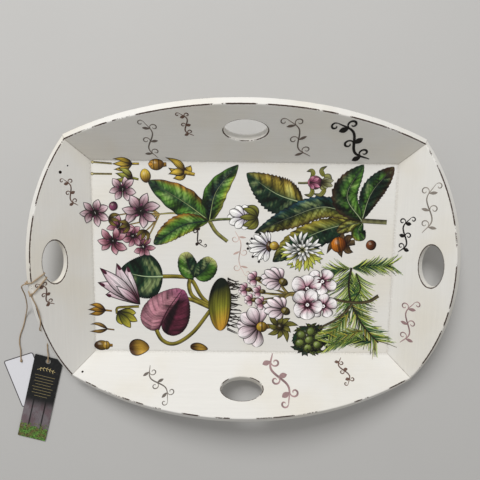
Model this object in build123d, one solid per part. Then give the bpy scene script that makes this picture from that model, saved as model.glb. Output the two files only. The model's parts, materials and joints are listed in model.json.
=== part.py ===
from build123d import *
from math import cos, radians, sin, sqrt, tan
import os

# Wooden serving tray, painted: a flat panel inside four flared boards with mitred corners.
# The rims are cut in arcs and every board has an oval hand hole. Two hang tags lie beside
# the tray on twine that is tied round the strip between the left hand hole and the rim.
# Millimetres. The tray lies flat: its underside is at z = 0, its centre is the origin,
# +X is the long way and +Y points to the back board.

# ---------------------------------------------------------------- driving dimensions
# base panel
PANEL_LENGTH = 480.0          # inside the boards, at the panel's top face
PANEL_WIDTH = 308.0
PANEL_THICKNESS = 9.0
PANEL_ARRIS = 0.5             # eased edge round the panel's top face

# side boards
BOARD_THICKNESS = 16.0
FLARE_ANGLE = 46.0            # between a board and the vertical
LONG_RIM_HEIGHT = 106.5       # up the face of a long board, from the panel to mid-rim
SHORT_RIM_HEIGHT = 98.0       # the same on a short board
CORNER_RIM_HEIGHT = 41.0      # up the mitre seam, from the panel to the rim
RIM_ROUNDING = 2.0            # worn edges of the rim

# hand holes
HOLE_LENGTH = 65.0
HOLE_HEIGHT = 37.5            # up the face of the board
HOLE_CENTRE_HEIGHT = 60.5     # up the face, from the panel to the hole's centre
HOLE_ROUNDING = 1.8

# blind ageing holes on the inner faces: along the board, up its face, radius
AGEING_HOLE_DEPTH = 3.5
LEFT_AGEING_HOLES = [(134.0, 48.0, 2.4), (144.0, 36.5, 1.2)]
FRONT_AGEING_HOLES = [(-254.0, 36.0, 1.8)]

# brads
BRAD_DIAMETER = 1.6
BRAD_LENGTH = 38.0
BRAD_HEAD_DIAMETER = 2.8
BRAD_HEAD_THICKNESS = 0.8
BRAD_SINK = 4.0               # from the board's outer face to the head's centre
CORNER_BRAD_HEIGHTS = (6.0, 16.0)
CORNER_BRAD_INSET = 8.0       # from the long board's inner face
LONG_SIDE_BRAD_SPACING = 120.0
LONG_SIDE_BRADS = 4
SHORT_SIDE_BRAD_SPACING = 95.0
SHORT_SIDE_BRADS = 3

# twine
TWINE_DIAMETER = 1.8
TWINE_GAP = 0.25              # between the twine and what it lies on
RIM_KNOT_RADIUS = 2.9
TAG_KNOT_RADIUS = 2.0

# hang tags
WHITE_TAG_WIDTH = 52.0
WHITE_TAG_LENGTH = 86.0
WHITE_TAG_THICKNESS = 0.6
WHITE_TAG_CORNER = 4.0
WHITE_HOLE_RADIUS = 2.6
WHITE_HOLE_INSET = 9.0        # from the tag's top edge to its hole
WHITE_HOLE_OFFSET = 3.0       # sideways from the tag's middle
WHITE_HOLE_PLACE = (126.3, -176.9)    # out from the panel's left end, and along Y
WHITE_TAG_TURN = 18.8         # from the -Y direction towards +X

BLACK_TAG_WIDTH = 47.0
BLACK_TAG_LENGTH = 148.0
BLACK_TAG_THICKNESS = 0.8
BLACK_TAG_CORNER = 1.0
BLACK_HOLE_RADIUS = 3.0
BLACK_HOLE_INSET = 7.5
BLACK_HOLE_PLACE = (81.5, -177.0)
BLACK_TAG_TURN = -14.1
TAG_STACK_GAP = 0.5           # between the white tag and the black tag that lies over it
EYELET_FLANGE_RADIUS = 4.2
EYELET_BORE_RADIUS = 2.3
EYELET_FLANGE = 0.3
EYELET_FIT = 0.05             # between the eyelet's barrel and the card

# ---------------------------------------------------------------- derived values
SIN_F, COS_F, TAN_F = (f(radians(FLARE_ANGLE)) for f in (sin, cos, tan))
HALF_LENGTH = PANEL_LENGTH / 2
HALF_WIDTH = PANEL_WIDTH / 2
BOARD_FOOT = BOARD_THICKNESS / COS_F          # a board's width where it stands on the table
BEVEL_RUN = PANEL_THICKNESS * TAN_F           # how far the panel's bevelled edge leans in
PILOT_RADIUS = BRAD_DIAMETER / 2
TWINE_RADIUS = TWINE_DIAMETER / 2
TWINE_LIFT = TWINE_RADIUS + TWINE_GAP
BLACK_TAG_BOTTOM = WHITE_TAG_THICKNESS + TAG_STACK_GAP
BLACK_TAG_TOP = BLACK_TAG_BOTTOM + BLACK_TAG_THICKNESS


def rim_radius(half_length, rim_height):
    """Radius of the rim's arc, in the board's own plane."""
    half_chord = half_length + CORNER_RIM_HEIGHT * SIN_F
    rise = rim_height - CORNER_RIM_HEIGHT
    return (half_chord**2 + rise**2) / (2 * rise)


def rim_height_at(along, half_length, rim_height):
    """Height of the rim up the board's face, at a distance along the board."""
    radius = rim_radius(half_length, rim_height)
    return rim_height - radius + sqrt(radius**2 - along**2)


# ---------------------------------------------------------------- boards
def face_plane(distance):
    """The inner face of a board on the +Y side: x along it, y up it, z out of it."""
    return Plane(origin=(0, distance, PANEL_THICKNESS), x_dir=(1, 0, 0), z_dir=(0, -COS_F, SIN_F))


def side_board(half_length, distance, rim_height, ageing_holes=()):
    """A board on the +Y side, as long as half_length each way at the panel's top face."""
    radius = rim_radius(half_length, rim_height)
    face = face_plane(distance)
    reach = rim_height + BOARD_THICKNESS

    # a round plank, lying in the slope of the board, whose edge is the rim with its worn corners
    worn = min(RIM_ROUNDING, BOARD_THICKNESS / 3)
    under = -BOARD_THICKNESS
    edge = make_face([
        Polyline((radius - worn, 0), (0, 0), (0, under), (radius - worn, under)),
        Bezier((radius - worn, under), (radius, under), (radius, under + worn)),
        Line((radius, under + worn), (radius, -worn)),
        Bezier((radius, -worn), (radius, 0), (radius - worn, 0)),
    ])
    plank = Rot(0, 0, -90) * revolve(Plane.XZ * edge, axis=Axis.Z)
    board = face * Pos(0, rim_height - radius) * plank

    hole = face * Pos(0, HOLE_CENTRE_HEIGHT) * Ellipse(HOLE_LENGTH / 2, HOLE_HEIGHT / 2)
    board -= extrude(hole, amount=2 * BOARD_THICKNESS, both=True)
    hole_edges = [e for e in board.edges() if e.is_closed]
    board = fillet(hole_edges, min(HOLE_ROUNDING, BOARD_THICKNESS / 3))

    for along, height, hole_radius in ageing_holes:
        mark = face * Pos(along, height, -AGEING_HOLE_DEPTH) * Cylinder(
            hole_radius, 2 * AGEING_HOLE_DEPTH, align=(Align.CENTER, Align.CENTER, Align.MIN)
        )
        board -= mark

    # the mitres: vertical planes at 45 degrees through the panel's corners
    out, back = reach + BOARD_FOOT, BEVEL_RUN + 1
    mitres = Polyline(
        (-half_length - out, distance + out),
        (half_length + out, distance + out),
        (half_length - back, distance - back),
        (-half_length + back, distance - back),
        close=True,
    )
    board &= extrude(make_face(mitres), amount=reach + PANEL_THICKNESS)
    return board


def base_panel():
    """The flat panel, with its edges bevelled to lie against the boards."""
    foot = Rectangle(PANEL_LENGTH - 2 * BEVEL_RUN, PANEL_WIDTH - 2 * BEVEL_RUN)
    panel = extrude(foot, amount=PANEL_THICKNESS, taper=-FLARE_ANGLE)
    return chamfer(panel.faces().sort_by(Axis.Z)[-1].edges(), PANEL_ARRIS)


# ---------------------------------------------------------------- brads
def brad():
    """A brad along +X with its head's outer face at the origin."""
    head = Cylinder(BRAD_HEAD_DIAMETER / 2, BRAD_HEAD_THICKNESS)
    shank = Pos(0, 0, BRAD_LENGTH / 2) * Cylinder(PILOT_RADIUS, BRAD_LENGTH)
    return Rot(0, 90, 0) * Pos(0, 0, BRAD_HEAD_THICKNESS / 2) * (head + shank)


def brad_hole():
    """The pilot hole of a brad and the wider hole that its head was sunk through."""
    way_in = Pos(0, 0, -2 * BRAD_SINK) * Cylinder(
        BRAD_HEAD_DIAMETER / 2, 2 * BRAD_SINK, align=(Align.CENTER, Align.CENTER, Align.MIN)
    )
    return brad() + Rot(0, 90, 0) * way_in


def outer_face(distance, height):
    """How far out a board's outer face is at a height above the table."""
    return distance - BEVEL_RUN + height * TAN_F + BOARD_FOOT


def corner_brad_places():
    """Two brads a corner, from a short board's outer face through the mitre, along X."""
    places = []
    for height in CORNER_BRAD_HEIGHTS:
        x = outer_face(HALF_LENGTH, height) - BRAD_SINK
        y = HALF_WIDTH - BEVEL_RUN + height * TAN_F + CORNER_BRAD_INSET
        for side_y in (-1, 1):
            places.append(Pos(-x, side_y * y, height))
            places.append(Pos(x, side_y * y, height) * Rot(0, 0, 180))
    return places


def row(count, spacing):
    return [(i - (count - 1) / 2) * spacing for i in range(count)]


def panel_brad_places():
    """Brads through the feet of the boards into the panel's edges."""
    height = PANEL_THICKNESS / 2
    x = outer_face(HALF_LENGTH, height) - BRAD_SINK
    y = outer_face(HALF_WIDTH, height) - BRAD_SINK
    places = []
    for along in row(SHORT_SIDE_BRADS, SHORT_SIDE_BRAD_SPACING):
        places.append(Pos(-x, along, height))
        places.append(Pos(x, along, height) * Rot(0, 0, 180))
    for along in row(LONG_SIDE_BRADS, LONG_SIDE_BRAD_SPACING):
        places.append(Pos(along, -y, height) * Rot(0, 0, 90))
        places.append(Pos(along, y, height) * Rot(0, 0, -90))
    return places


# ---------------------------------------------------------------- twine
def on_left_board(along, height, lift):
    """A point by the left board: along it (+Y), up its inner face, and off that face."""
    plane = Rot(0, 0, 90) * Location(face_plane(HALF_LENGTH))
    return (plane * Pos(along, height, lift)).position


def beside(out, along, height=0):
    """A point beside the tray: out from the panel's left end, along Y, above the table."""
    return (-HALF_LENGTH - out, along, height)


def left_rim(along):
    return rim_height_at(along, HALF_WIDTH, SHORT_RIM_HEIGHT)


def left_hole_top(along):
    half_height = HOLE_HEIGHT / 2 * sqrt(1 - (2 * along / HOLE_LENGTH) ** 2)
    return HOLE_CENTRE_HEIGHT + half_height


def cord_path(name, points):
    """Straight runs joined by tangent arcs, each as large as its two runs allow."""
    points = [Vector(*p) for p in points]
    radii = []
    for before, here, after in zip(points, points[1:], points[2:]):
        runs = (here - before, after - here)
        turn = radians(runs[0].get_angle(runs[1]))
        radii.append(0.45 * min(r.length for r in runs) / tan(turn / 2))
    path = FilletPolyline(*points, radius=radii)
    print(name, "length %.1f" % path.length, "radii", " ".join("%.1f" % r for r in radii))
    return path


def twine_tube(name, path):
    tube = sweep(Plane(origin=path @ 0, z_dir=path % 0) * Circle(TWINE_RADIUS), path=path)
    print(name, "volume over section times length %.4f"
          % (tube.volume / (3.141592653589793 * TWINE_RADIUS**2 * path.length)))
    return tube


def twine_loop(name, hole_along, rim_along):
    """Twine tied tight round the strip between the left hand hole and the rim."""
    low = left_hole_top(hole_along) - TWINE_LIFT
    high = left_rim(rim_along) + TWINE_LIFT
    inside, outside = TWINE_LIFT, -BOARD_THICKNESS - TWINE_LIFT
    corners = [
        on_left_board(hole_along, low, inside),
        on_left_board(rim_along, high, inside),
        on_left_board(rim_along, high, outside),
        on_left_board(hole_along, low, outside),
    ]
    path = FilletPolyline(*corners, radius=TWINE_LIFT + min(RIM_ROUNDING, HOLE_ROUNDING), close=True)
    return twine_tube(name, path)


# Where the two loops cross the rim, and how the ends run to the tags.
WHITE_LOOP = (-15.0, -27.0)       # along the board: at the hole, at the rim
BLACK_LOOP = (-22.0, -43.0)
WHITE_KNOT = on_left_board(-29.0, left_rim(-29.0) + RIM_KNOT_RADIUS + 0.3, -11.0)
BLACK_KNOT = on_left_board(-45.0, left_rim(-45.0) + RIM_KNOT_RADIUS + 0.3, -1.0)
FLOOR_LIFT = TWINE_RADIUS + 0.1
WHITE_TAG_LIFT = WHITE_TAG_THICKNESS + TWINE_LIFT
BLACK_TAG_LIFT = BLACK_TAG_TOP + EYELET_FLANGE + TWINE_LIFT

WHITE_TAIL_ROUTE = [
    WHITE_KNOT,
    beside(89, -33.0, 67.0),
    beside(95, -42.0, 52.0),
    beside(98.5, -55.0, 36.0),
    beside(104, -68.0, 21.0),
    beside(109, -83.0, 8.0),
    beside(115.5, -99.0, FLOOR_LIFT),
    beside(120, -117.0, FLOOR_LIFT),
    beside(126.5, -132.0, FLOOR_LIFT),
    beside(128.5, -146.0, FLOOR_LIFT + 0.2),
    beside(126, -158.0, WHITE_TAG_LIFT - 0.1),
    beside(127, -168.0, WHITE_TAG_LIFT),
    beside(*WHITE_HOLE_PLACE, WHITE_TAG_LIFT + 0.2),
]

BLACK_TAIL_ROUTE = [
    BLACK_KNOT,
    on_left_board(-55.0, left_rim(-55.0) + 1.0, TWINE_LIFT + 0.8),
    on_left_board(-70.0, left_rim(-70.0) - 1.5, TWINE_LIFT + 0.3),
    on_left_board(-84.0, left_rim(-84.0) - 0.5, TWINE_LIFT + 0.4),
    on_left_board(-93.0, left_rim(-93.0) + TWINE_LIFT + 0.7, 0.0),
    on_left_board(-100.0, left_rim(-100.0) + TWINE_LIFT + 1.0, -9.0),
    on_left_board(-106.0, left_rim(-106.0) + TWINE_LIFT + 0.3, -18.0),
    beside(72, -115.0, 33.0),
    beside(73, -123.0, 15.0),
    beside(77, -134.0, 3.5),
    beside(82.5, -146.0, FLOOR_LIFT),
    beside(82, -158.0, FLOOR_LIFT + 0.8),
    beside(80.5, -168.0, BLACK_TAG_LIFT),
    beside(*BLACK_HOLE_PLACE, BLACK_TAG_LIFT + 0.2),
]


# ---------------------------------------------------------------- tags
def tag(width, length, thickness, corner, hole_radius, hole_inset, hole_offset):
    """A card hanging down -Y from its hole, which is at the origin."""
    card = Pos(-hole_offset, hole_inset - length / 2) * RectangleRounded(width, length, corner)
    return extrude(card - Circle(hole_radius), amount=thickness)


def eyelet():
    """A pressed ring whose flanges grip the card from both faces."""
    barrel_radius = BLACK_HOLE_RADIUS - EYELET_FIT
    half = Polyline(
        (EYELET_BORE_RADIUS, -EYELET_FLANGE),
        (EYELET_FLANGE_RADIUS, -EYELET_FLANGE),
        (EYELET_FLANGE_RADIUS, 0),
        (barrel_radius, 0),
        (barrel_radius, BLACK_TAG_THICKNESS),
        (EYELET_FLANGE_RADIUS, BLACK_TAG_THICKNESS),
        (EYELET_FLANGE_RADIUS, BLACK_TAG_THICKNESS + EYELET_FLANGE),
        (EYELET_BORE_RADIUS, BLACK_TAG_THICKNESS + EYELET_FLANGE),
        close=True,
    )
    return revolve(Plane.XZ * make_face(half), axis=Axis.Z)


# ---------------------------------------------------------------- assembly
nodes = {}

back = side_board(HALF_LENGTH, HALF_WIDTH, LONG_RIM_HEIGHT)
front = Rot(0, 0, 180) * side_board(
    HALF_LENGTH, HALF_WIDTH, LONG_RIM_HEIGHT, [(-x, s, r) for x, s, r in FRONT_AGEING_HOLES]
)
left = Rot(0, 0, 90) * side_board(HALF_WIDTH, HALF_LENGTH, SHORT_RIM_HEIGHT, LEFT_AGEING_HOLES)
right = Rot(0, 0, -90) * side_board(HALF_WIDTH, HALF_LENGTH, SHORT_RIM_HEIGHT)
panel = base_panel()

corner_places = corner_brad_places()
panel_places = panel_brad_places()
corner_cut = [place * brad_hole() for place in corner_places]
panel_cut = [place * brad_hole() for place in panel_places]

nodes["base_panel"] = panel - panel_cut
nodes["side_board_back"] = back - corner_cut - panel_cut
nodes["side_board_front"] = front - corner_cut - panel_cut
nodes["side_board_left"] = left - corner_cut - panel_cut
nodes["side_board_right"] = right - corner_cut - panel_cut
nodes["corner_brads"] = Compound(children=[place * brad() for place in corner_places])
nodes["panel_brads"] = Compound(children=[place * brad() for place in panel_places])

nodes["white_tag_twine_loop"] = twine_loop("white loop", *WHITE_LOOP)
nodes["black_tag_twine_loop"] = twine_loop("black loop", *BLACK_LOOP)
nodes["white_tag_rim_knot"] = Pos(*WHITE_KNOT) * Sphere(RIM_KNOT_RADIUS)
nodes["black_tag_rim_knot"] = Pos(*BLACK_KNOT) * Sphere(RIM_KNOT_RADIUS)
nodes["white_tag_twine"] = twine_tube("white tail", cord_path("white tail", WHITE_TAIL_ROUTE))
nodes["black_tag_twine"] = twine_tube("black tail", cord_path("black tail", BLACK_TAIL_ROUTE))
nodes["white_tag_end_knot"] = Pos(*WHITE_TAIL_ROUTE[-1]) * Sphere(TAG_KNOT_RADIUS)
nodes["black_tag_end_knot"] = Pos(*BLACK_TAIL_ROUTE[-1]) * Sphere(TAG_KNOT_RADIUS)

nodes["white_tag"] = Pos(*beside(*WHITE_HOLE_PLACE)) * Rot(0, 0, WHITE_TAG_TURN) * tag(
    WHITE_TAG_WIDTH, WHITE_TAG_LENGTH, WHITE_TAG_THICKNESS, WHITE_TAG_CORNER,
    WHITE_HOLE_RADIUS, WHITE_HOLE_INSET, WHITE_HOLE_OFFSET,
)
black_place = Pos(*beside(*BLACK_HOLE_PLACE, BLACK_TAG_BOTTOM))
nodes["black_tag"] = black_place * Rot(0, 0, BLACK_TAG_TURN) * tag(
    BLACK_TAG_WIDTH, BLACK_TAG_LENGTH, BLACK_TAG_THICKNESS, BLACK_TAG_CORNER,
    BLACK_HOLE_RADIUS, BLACK_HOLE_INSET, 0,
)
nodes["black_tag_eyelet"] = black_place * eyelet()

os.makedirs("parts", exist_ok=True)
for name, shape in nodes.items():
    shape.label = name
    export_step(shape, f"parts/{name}.step")
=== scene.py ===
import json
import math
import random

import bpy
from bpy.props import FloatProperty, FloatVectorProperty, IntProperty, PointerProperty
from mathutils import Matrix, Quaternion, Vector, noise


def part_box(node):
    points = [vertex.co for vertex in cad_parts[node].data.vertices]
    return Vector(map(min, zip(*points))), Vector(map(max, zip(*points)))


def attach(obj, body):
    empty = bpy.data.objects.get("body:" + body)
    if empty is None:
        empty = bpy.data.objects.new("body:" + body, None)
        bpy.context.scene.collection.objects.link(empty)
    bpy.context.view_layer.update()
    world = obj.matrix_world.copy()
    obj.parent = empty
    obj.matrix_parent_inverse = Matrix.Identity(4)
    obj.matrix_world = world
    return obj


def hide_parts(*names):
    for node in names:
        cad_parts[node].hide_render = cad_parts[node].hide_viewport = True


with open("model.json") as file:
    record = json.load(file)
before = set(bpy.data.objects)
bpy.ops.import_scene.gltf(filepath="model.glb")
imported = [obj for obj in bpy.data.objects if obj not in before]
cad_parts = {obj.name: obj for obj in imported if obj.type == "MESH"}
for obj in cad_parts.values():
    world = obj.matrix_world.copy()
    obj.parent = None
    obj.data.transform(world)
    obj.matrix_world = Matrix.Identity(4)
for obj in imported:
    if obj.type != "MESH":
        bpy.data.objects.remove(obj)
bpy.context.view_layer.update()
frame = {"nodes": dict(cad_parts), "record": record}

bl_info = {
    "name": "Painted Serving Tray",
    "version": (1, 0, 0),
    "blender": (4, 5, 0),
    "location": "3D View > Sidebar > Tray",
    "description": "Paint, botanical print, twine and hang tags for a wooden serving tray",
    "category": "Object",
}

# ------------------------------------------------------------------ sizes
MM = 0.001

# the tray's timber, as it was cut
PANEL_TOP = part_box("base_panel")[1][2]
HALF_LENGTH = 240 * MM
HALF_WIDTH = 154 * MM
BOARD_THICKNESS = 16 * MM
FLARE = math.radians(46)
LONG_RIM_HEIGHT = 106.5 * MM
SHORT_RIM_HEIGHT = 98 * MM
CORNER_RIM_HEIGHT = 41 * MM
HOLE_HALF_LENGTH = 32.5 * MM
HOLE_HALF_HEIGHT = 18.75 * MM
HOLE_CENTRE_HEIGHT = 60.5 * MM
AGEING_HOLE_DEPTH = 3.5 * MM
SIN_F, COS_F = math.sin(FLARE), math.cos(FLARE)

# paint laid on the timber, in millimetres: each shape is a thin slab, and later ones lie on
# earlier ones
PAINT_SINK = 0.02  # how deep a slab reaches into what it lies on
PAINT_BUILD = 0.08  # the top of the lowest slab
PAINT_STEP = 0.015  # from one layer to the next
PAINT_HAIR = 0.001  # between two shapes of one layer, so that no two lie in one plane
HAIRS = 89  # shapes of one layer before their heights repeat
NO_OUTLINE = 9.0  # an inset so large that no outline shows

# hang tags, in millimetres from the hole that each hangs by
WHITE_TAG_CENTRE = (-3.0, -34.0)
WHITE_TAG_HALF = (26.0, 43.0)
WHITE_TAG_CORNER = 4.0
WHITE_TAG_TURN = math.radians(18.8)
BORDER_INSET = 0.9  # from the white card's edge to the line printed round it
BLACK_TAG_TURN = math.radians(-14.1)
PLANK_WIDTH = 20.3
PLANK_SHIFT = 50.6  # puts a joint about 10 mm to each side of the hole
PLANKS_FADE_IN = (-62.0, -84.0)  # from black card to full planks
MOSS_TOP = (-116.0, -118.5)
RULE_HALVES = (17, 15, 16, 13, 17, 15, 16, 11)
RULE_TOP = -27
RULE_SPACING = 5.2

# floor, light and camera, in metres from the middle of the tray
FLOOR_HALF = 4.0
FLOOR_TOP = -0.4 * MM
FLOOR_THICKNESS = 0.02
KEY_PLACE = (-0.75, 2.31, 2.38)
KEY_SIZE = 1.3
KEY_COLOUR = (0.995, 0.995, 0.99)
SKY_COLOUR = (1.0, 0.99, 0.975, 1.0)
CAMERA_PLACE = (-0.0125, 0.1229, 0.7204)
CAMERA_AIM = (-0.0058, 0.0316, PANEL_TOP)
CAMERA_ROLL = math.radians(0.80)


def linear(code):
    """A colour from its usual six hexadecimal digits, as the renderer counts light."""
    channels = [int(code[i:i + 2], 16) / 255 for i in (0, 2, 4)]
    return tuple(c / 12.92 if c <= 0.04045 else ((c + 0.055) / 1.055) ** 2.4 for c in channels)


def colour_property(name, description, code):
    """A colour that a user may change."""
    return FloatVectorProperty(
        name=name, description=description, subtype="COLOR", size=3, min=0.0, max=1.0,
        default=linear(code),
    )


# ------------------------------------------------------------------ what a user may change
class PaintSettings(bpy.types.PropertyGroup):
    """Chalk paint on the panel and the boards."""
    paint: colour_property("Paint", "Chalk paint on the timber", "EAE8E3")
    wood: colour_property("Bare wood", "Stained timber where the paint is rubbed off", "3A2417")
    # painted shade: the colour that darkens the corners where the boards meet the panel and each other
    corner_shade: colour_property("Corner_shade", "Dust that has settled in the corners", "8C8374")
    rubbed: FloatProperty(
        name="Rubbed width", description="How far from an edge the paint is rubbed off",
        default=1.5 * MM, min=0.0, max=6 * MM, unit="LENGTH",
    )
    rubbed_share: FloatProperty(
        name="Rubbed share", description="How much of the edges is rubbed bare",
        default=0.7, min=0.0, max=1.0, subtype="FACTOR",
    )
    stroke_depth: FloatProperty(
        name="Brush stroke depth", description="Height of the ridges that the brush left",
        default=0.12 * MM, min=0.0, max=1 * MM, unit="LENGTH",
    )


class PrintSettings(bpy.types.PropertyGroup):
    """The botanical print and the painted tendrils."""
    green: colour_property("Leaf green", "The brighter greens", "5F9430")
    deep_green: colour_property("Deep green", "The darker halves of the leaves", "1C3D26")
    olive: colour_property("Olive", "Stems, calyxes and yellow leaves", "8A8A36")
    autumn: colour_property("Autumn orange", "Turning margins of the leaves", "B8702A")
    ochre: colour_property("Ochre", "Seeds, pods and the corm", "B98A2E")
    mauve: colour_property("Mauve", "Shaded parts of the petals", "A8597F")
    maroon: colour_property("Maroon", "Petal shadows", "5A2138")
    ink: colour_property("Ink", "Outlines", "1D1714")
    scroll: colour_property("Tendril brown", "The painted tendrils", "6B5348")


class TwineSettings(bpy.types.PropertyGroup):
    """Jute twine."""
    fibre: colour_property("Jute", "The twine's colour", "B59D7E")
    diameter: FloatProperty(
        name="Twine diameter", description="Across the three plies",
        default=1.8 * MM, min=0.8 * MM, max=3 * MM, unit="LENGTH",
    )
    lay: FloatProperty(
        name="Lay length", description="Length of one full turn of a ply",
        default=7 * MM, min=3 * MM, max=20 * MM, unit="LENGTH",
    )
    plies: IntProperty(name="Plies", description="Strands in the twine", default=3, min=2, max=4)


class TagSettings(bpy.types.PropertyGroup):
    """The two hang tags."""
    card: colour_property("White card", "The small tag", "EBEBF0")
    border: colour_property("Border", "The line round the small tag", "4A4648")
    black: colour_property("Black card", "The long tag", "0E0F10")
    gold: colour_property("Gold ink", "The sprig and the rules on the long tag", "A5966A")
    plank: colour_property("Planks", "The weathered planks on the long tag", "6C6468")
    moss: colour_property("Moss", "The moss on the long tag", "5C8A35")


class StageSettings(bpy.types.PropertyGroup):
    """Floor, light and camera."""
    floor: colour_property("Floor", "The pale floor", "C9C8C6")
    key_power: FloatProperty(
        name="Key light", description="Power of the soft light over the back board",
        default=77.0, min=0.0, unit="POWER",
    )
    sky: FloatProperty(name="Sky", description="Light from all round", default=0.39, min=0.0)
    view_angle: FloatProperty(
        name="View angle", description="The camera's field of view",
        default=math.radians(56.14), min=0.1, max=3.0, subtype="ANGLE",
    )


class TraySettings(bpy.types.PropertyGroup):
    """Everything that a user may change."""
    paint: PointerProperty(type=PaintSettings)
    print: PointerProperty(type=PrintSettings)
    twine: PointerProperty(type=TwineSettings)
    tags: PointerProperty(type=TagSettings)
    stage: PointerProperty(type=StageSettings)


def settings():
    return bpy.context.scene.serving_tray


# ------------------------------------------------------------------ node materials
class Finish:
    """A node material, written as sums on its sockets."""

    def __init__(self, name, **constants):
        self.material = bpy.data.materials.new(name)
        self.material.use_nodes = True
        self.tree = self.material.node_tree
        self.shader = self.tree.nodes["Principled BSDF"]
        for socket, value in constants.items():
            self.shader.inputs[socket.replace("_", " ")].default_value = value

    def node(self, kind, inputs=(), **options):
        made = self.tree.nodes.new(kind)
        for option, value in options.items():
            setattr(made, option, value)
        for socket, value in enumerate(inputs):
            self.feed(made.inputs[socket], value)
        return made

    def feed(self, socket, value):
        if isinstance(value, bpy.types.NodeSocket):
            self.tree.links.new(value, socket)
        elif value is not None:
            if socket.type == "RGBA" and len(value) == 3:
                value = (*value, 1.0)
            socket.default_value = value

    def point(self):
        """The point's place in the tray's frame."""
        return self.node("ShaderNodeTexCoord").outputs["Object"]

    def place(self):
        """The same place as three sockets."""
        return self.node("ShaderNodeSeparateXYZ", [self.point()]).outputs

    def sum(self, operation, *values):
        return self.node("ShaderNodeMath", values, operation=operation).outputs[0]

    def plus(self, a, b):
        return self.sum("ADD", a, b)

    def minus(self, a, b):
        return self.sum("SUBTRACT", a, b)

    def times(self, a, b):
        return self.sum("MULTIPLY", a, b)

    def most(self, first, *others):
        """The largest of several values."""
        for value in others:
            first = self.sum("MAXIMUM", first, value)
        return first

    def scaled(self, value, factor, start):
        """A value times a factor, plus start."""
        return self.plus(self.times(value, factor), start)

    def step(self, value, low, high):
        """0 below low and 1 above high, smooth between; the other way round if low > high."""
        turned = low > high
        ends = (high, low, 1.0, 0.0) if turned else (low, high, 0.0, 1.0)
        made = self.node("ShaderNodeMapRange", [value, *ends], interpolation_type="SMOOTHSTEP")
        return made.outputs[0]

    def vector(self, x, y=0.0):
        return self.node("ShaderNodeCombineXYZ", [x, y]).outputs[0]

    def noise(self, where, scale, detail=3.0, roughness=0.55):
        made = self.node("ShaderNodeTexNoise")
        for socket, value in (("Vector", where), ("Scale", scale), ("Detail", detail)):
            self.feed(made.inputs[socket], value)
        made.inputs["Roughness"].default_value = roughness
        return made.outputs[0]

    def mix(self, share, first, second):
        made = self.node("ShaderNodeMix", data_type="RGBA")
        for socket, value in ((0, share), (6, first), (7, second)):
            self.feed(made.inputs[socket], value)
        return made.outputs[2]

    def shade(self, colour, value):
        """A colour made lighter or darker by a number."""
        made = self.node("ShaderNodeVectorMath", operation="SCALE")
        self.feed(made.inputs[0], colour)
        self.feed(made.inputs["Scale"], value)
        return made.outputs[0]

    def attribute(self, name):
        return self.node("ShaderNodeAttribute", attribute_name=name)

    def bump(self, height, distance):
        made = self.node("ShaderNodeBump")
        self.feed(made.inputs["Height"], height)
        made.inputs["Distance"].default_value = distance
        made.inputs["Strength"].default_value = 1.0
        self.tree.links.new(made.outputs[0], self.shader.inputs["Normal"])

    def colour(self, value):
        self.feed(self.shader.inputs["Base Color"], value)

    def roughness(self, value):
        self.feed(self.shader.inputs["Roughness"], value)


def distance_in_plane(finish, a, b):
    return finish.sum("SQRT", finish.plus(finish.times(a, a), finish.times(b, b)))


def brushed(finish, along, across):
    """Streaks of a wide brush: long one way and narrow the other."""
    streak_at = finish.vector(finish.times(along, 9.0), finish.times(across, 260.0))
    fine_at = finish.vector(finish.times(along, 30.0), finish.times(across, 900.0))
    return finish.noise(streak_at, 1.0, 4.0, 0.6), finish.noise(fine_at, 1.0, 2.0, 0.5)


def chalk_colour(finish, streak, fine, cloud):
    """Chalk paint, thicker and thinner under the brush, with a warm bloom."""
    paint = Vector(settings().paint.paint)
    warm = (paint.x * 0.97, paint.y * 0.945, paint.z * 0.89)
    tone = finish.plus(finish.times(streak, 0.09), finish.times(fine, 0.05))
    level = finish.plus(tone, 0.93)
    return finish.shade(finish.mix(finish.step(cloud, 0.42, 0.72), tuple(paint), warm), level)


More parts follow.
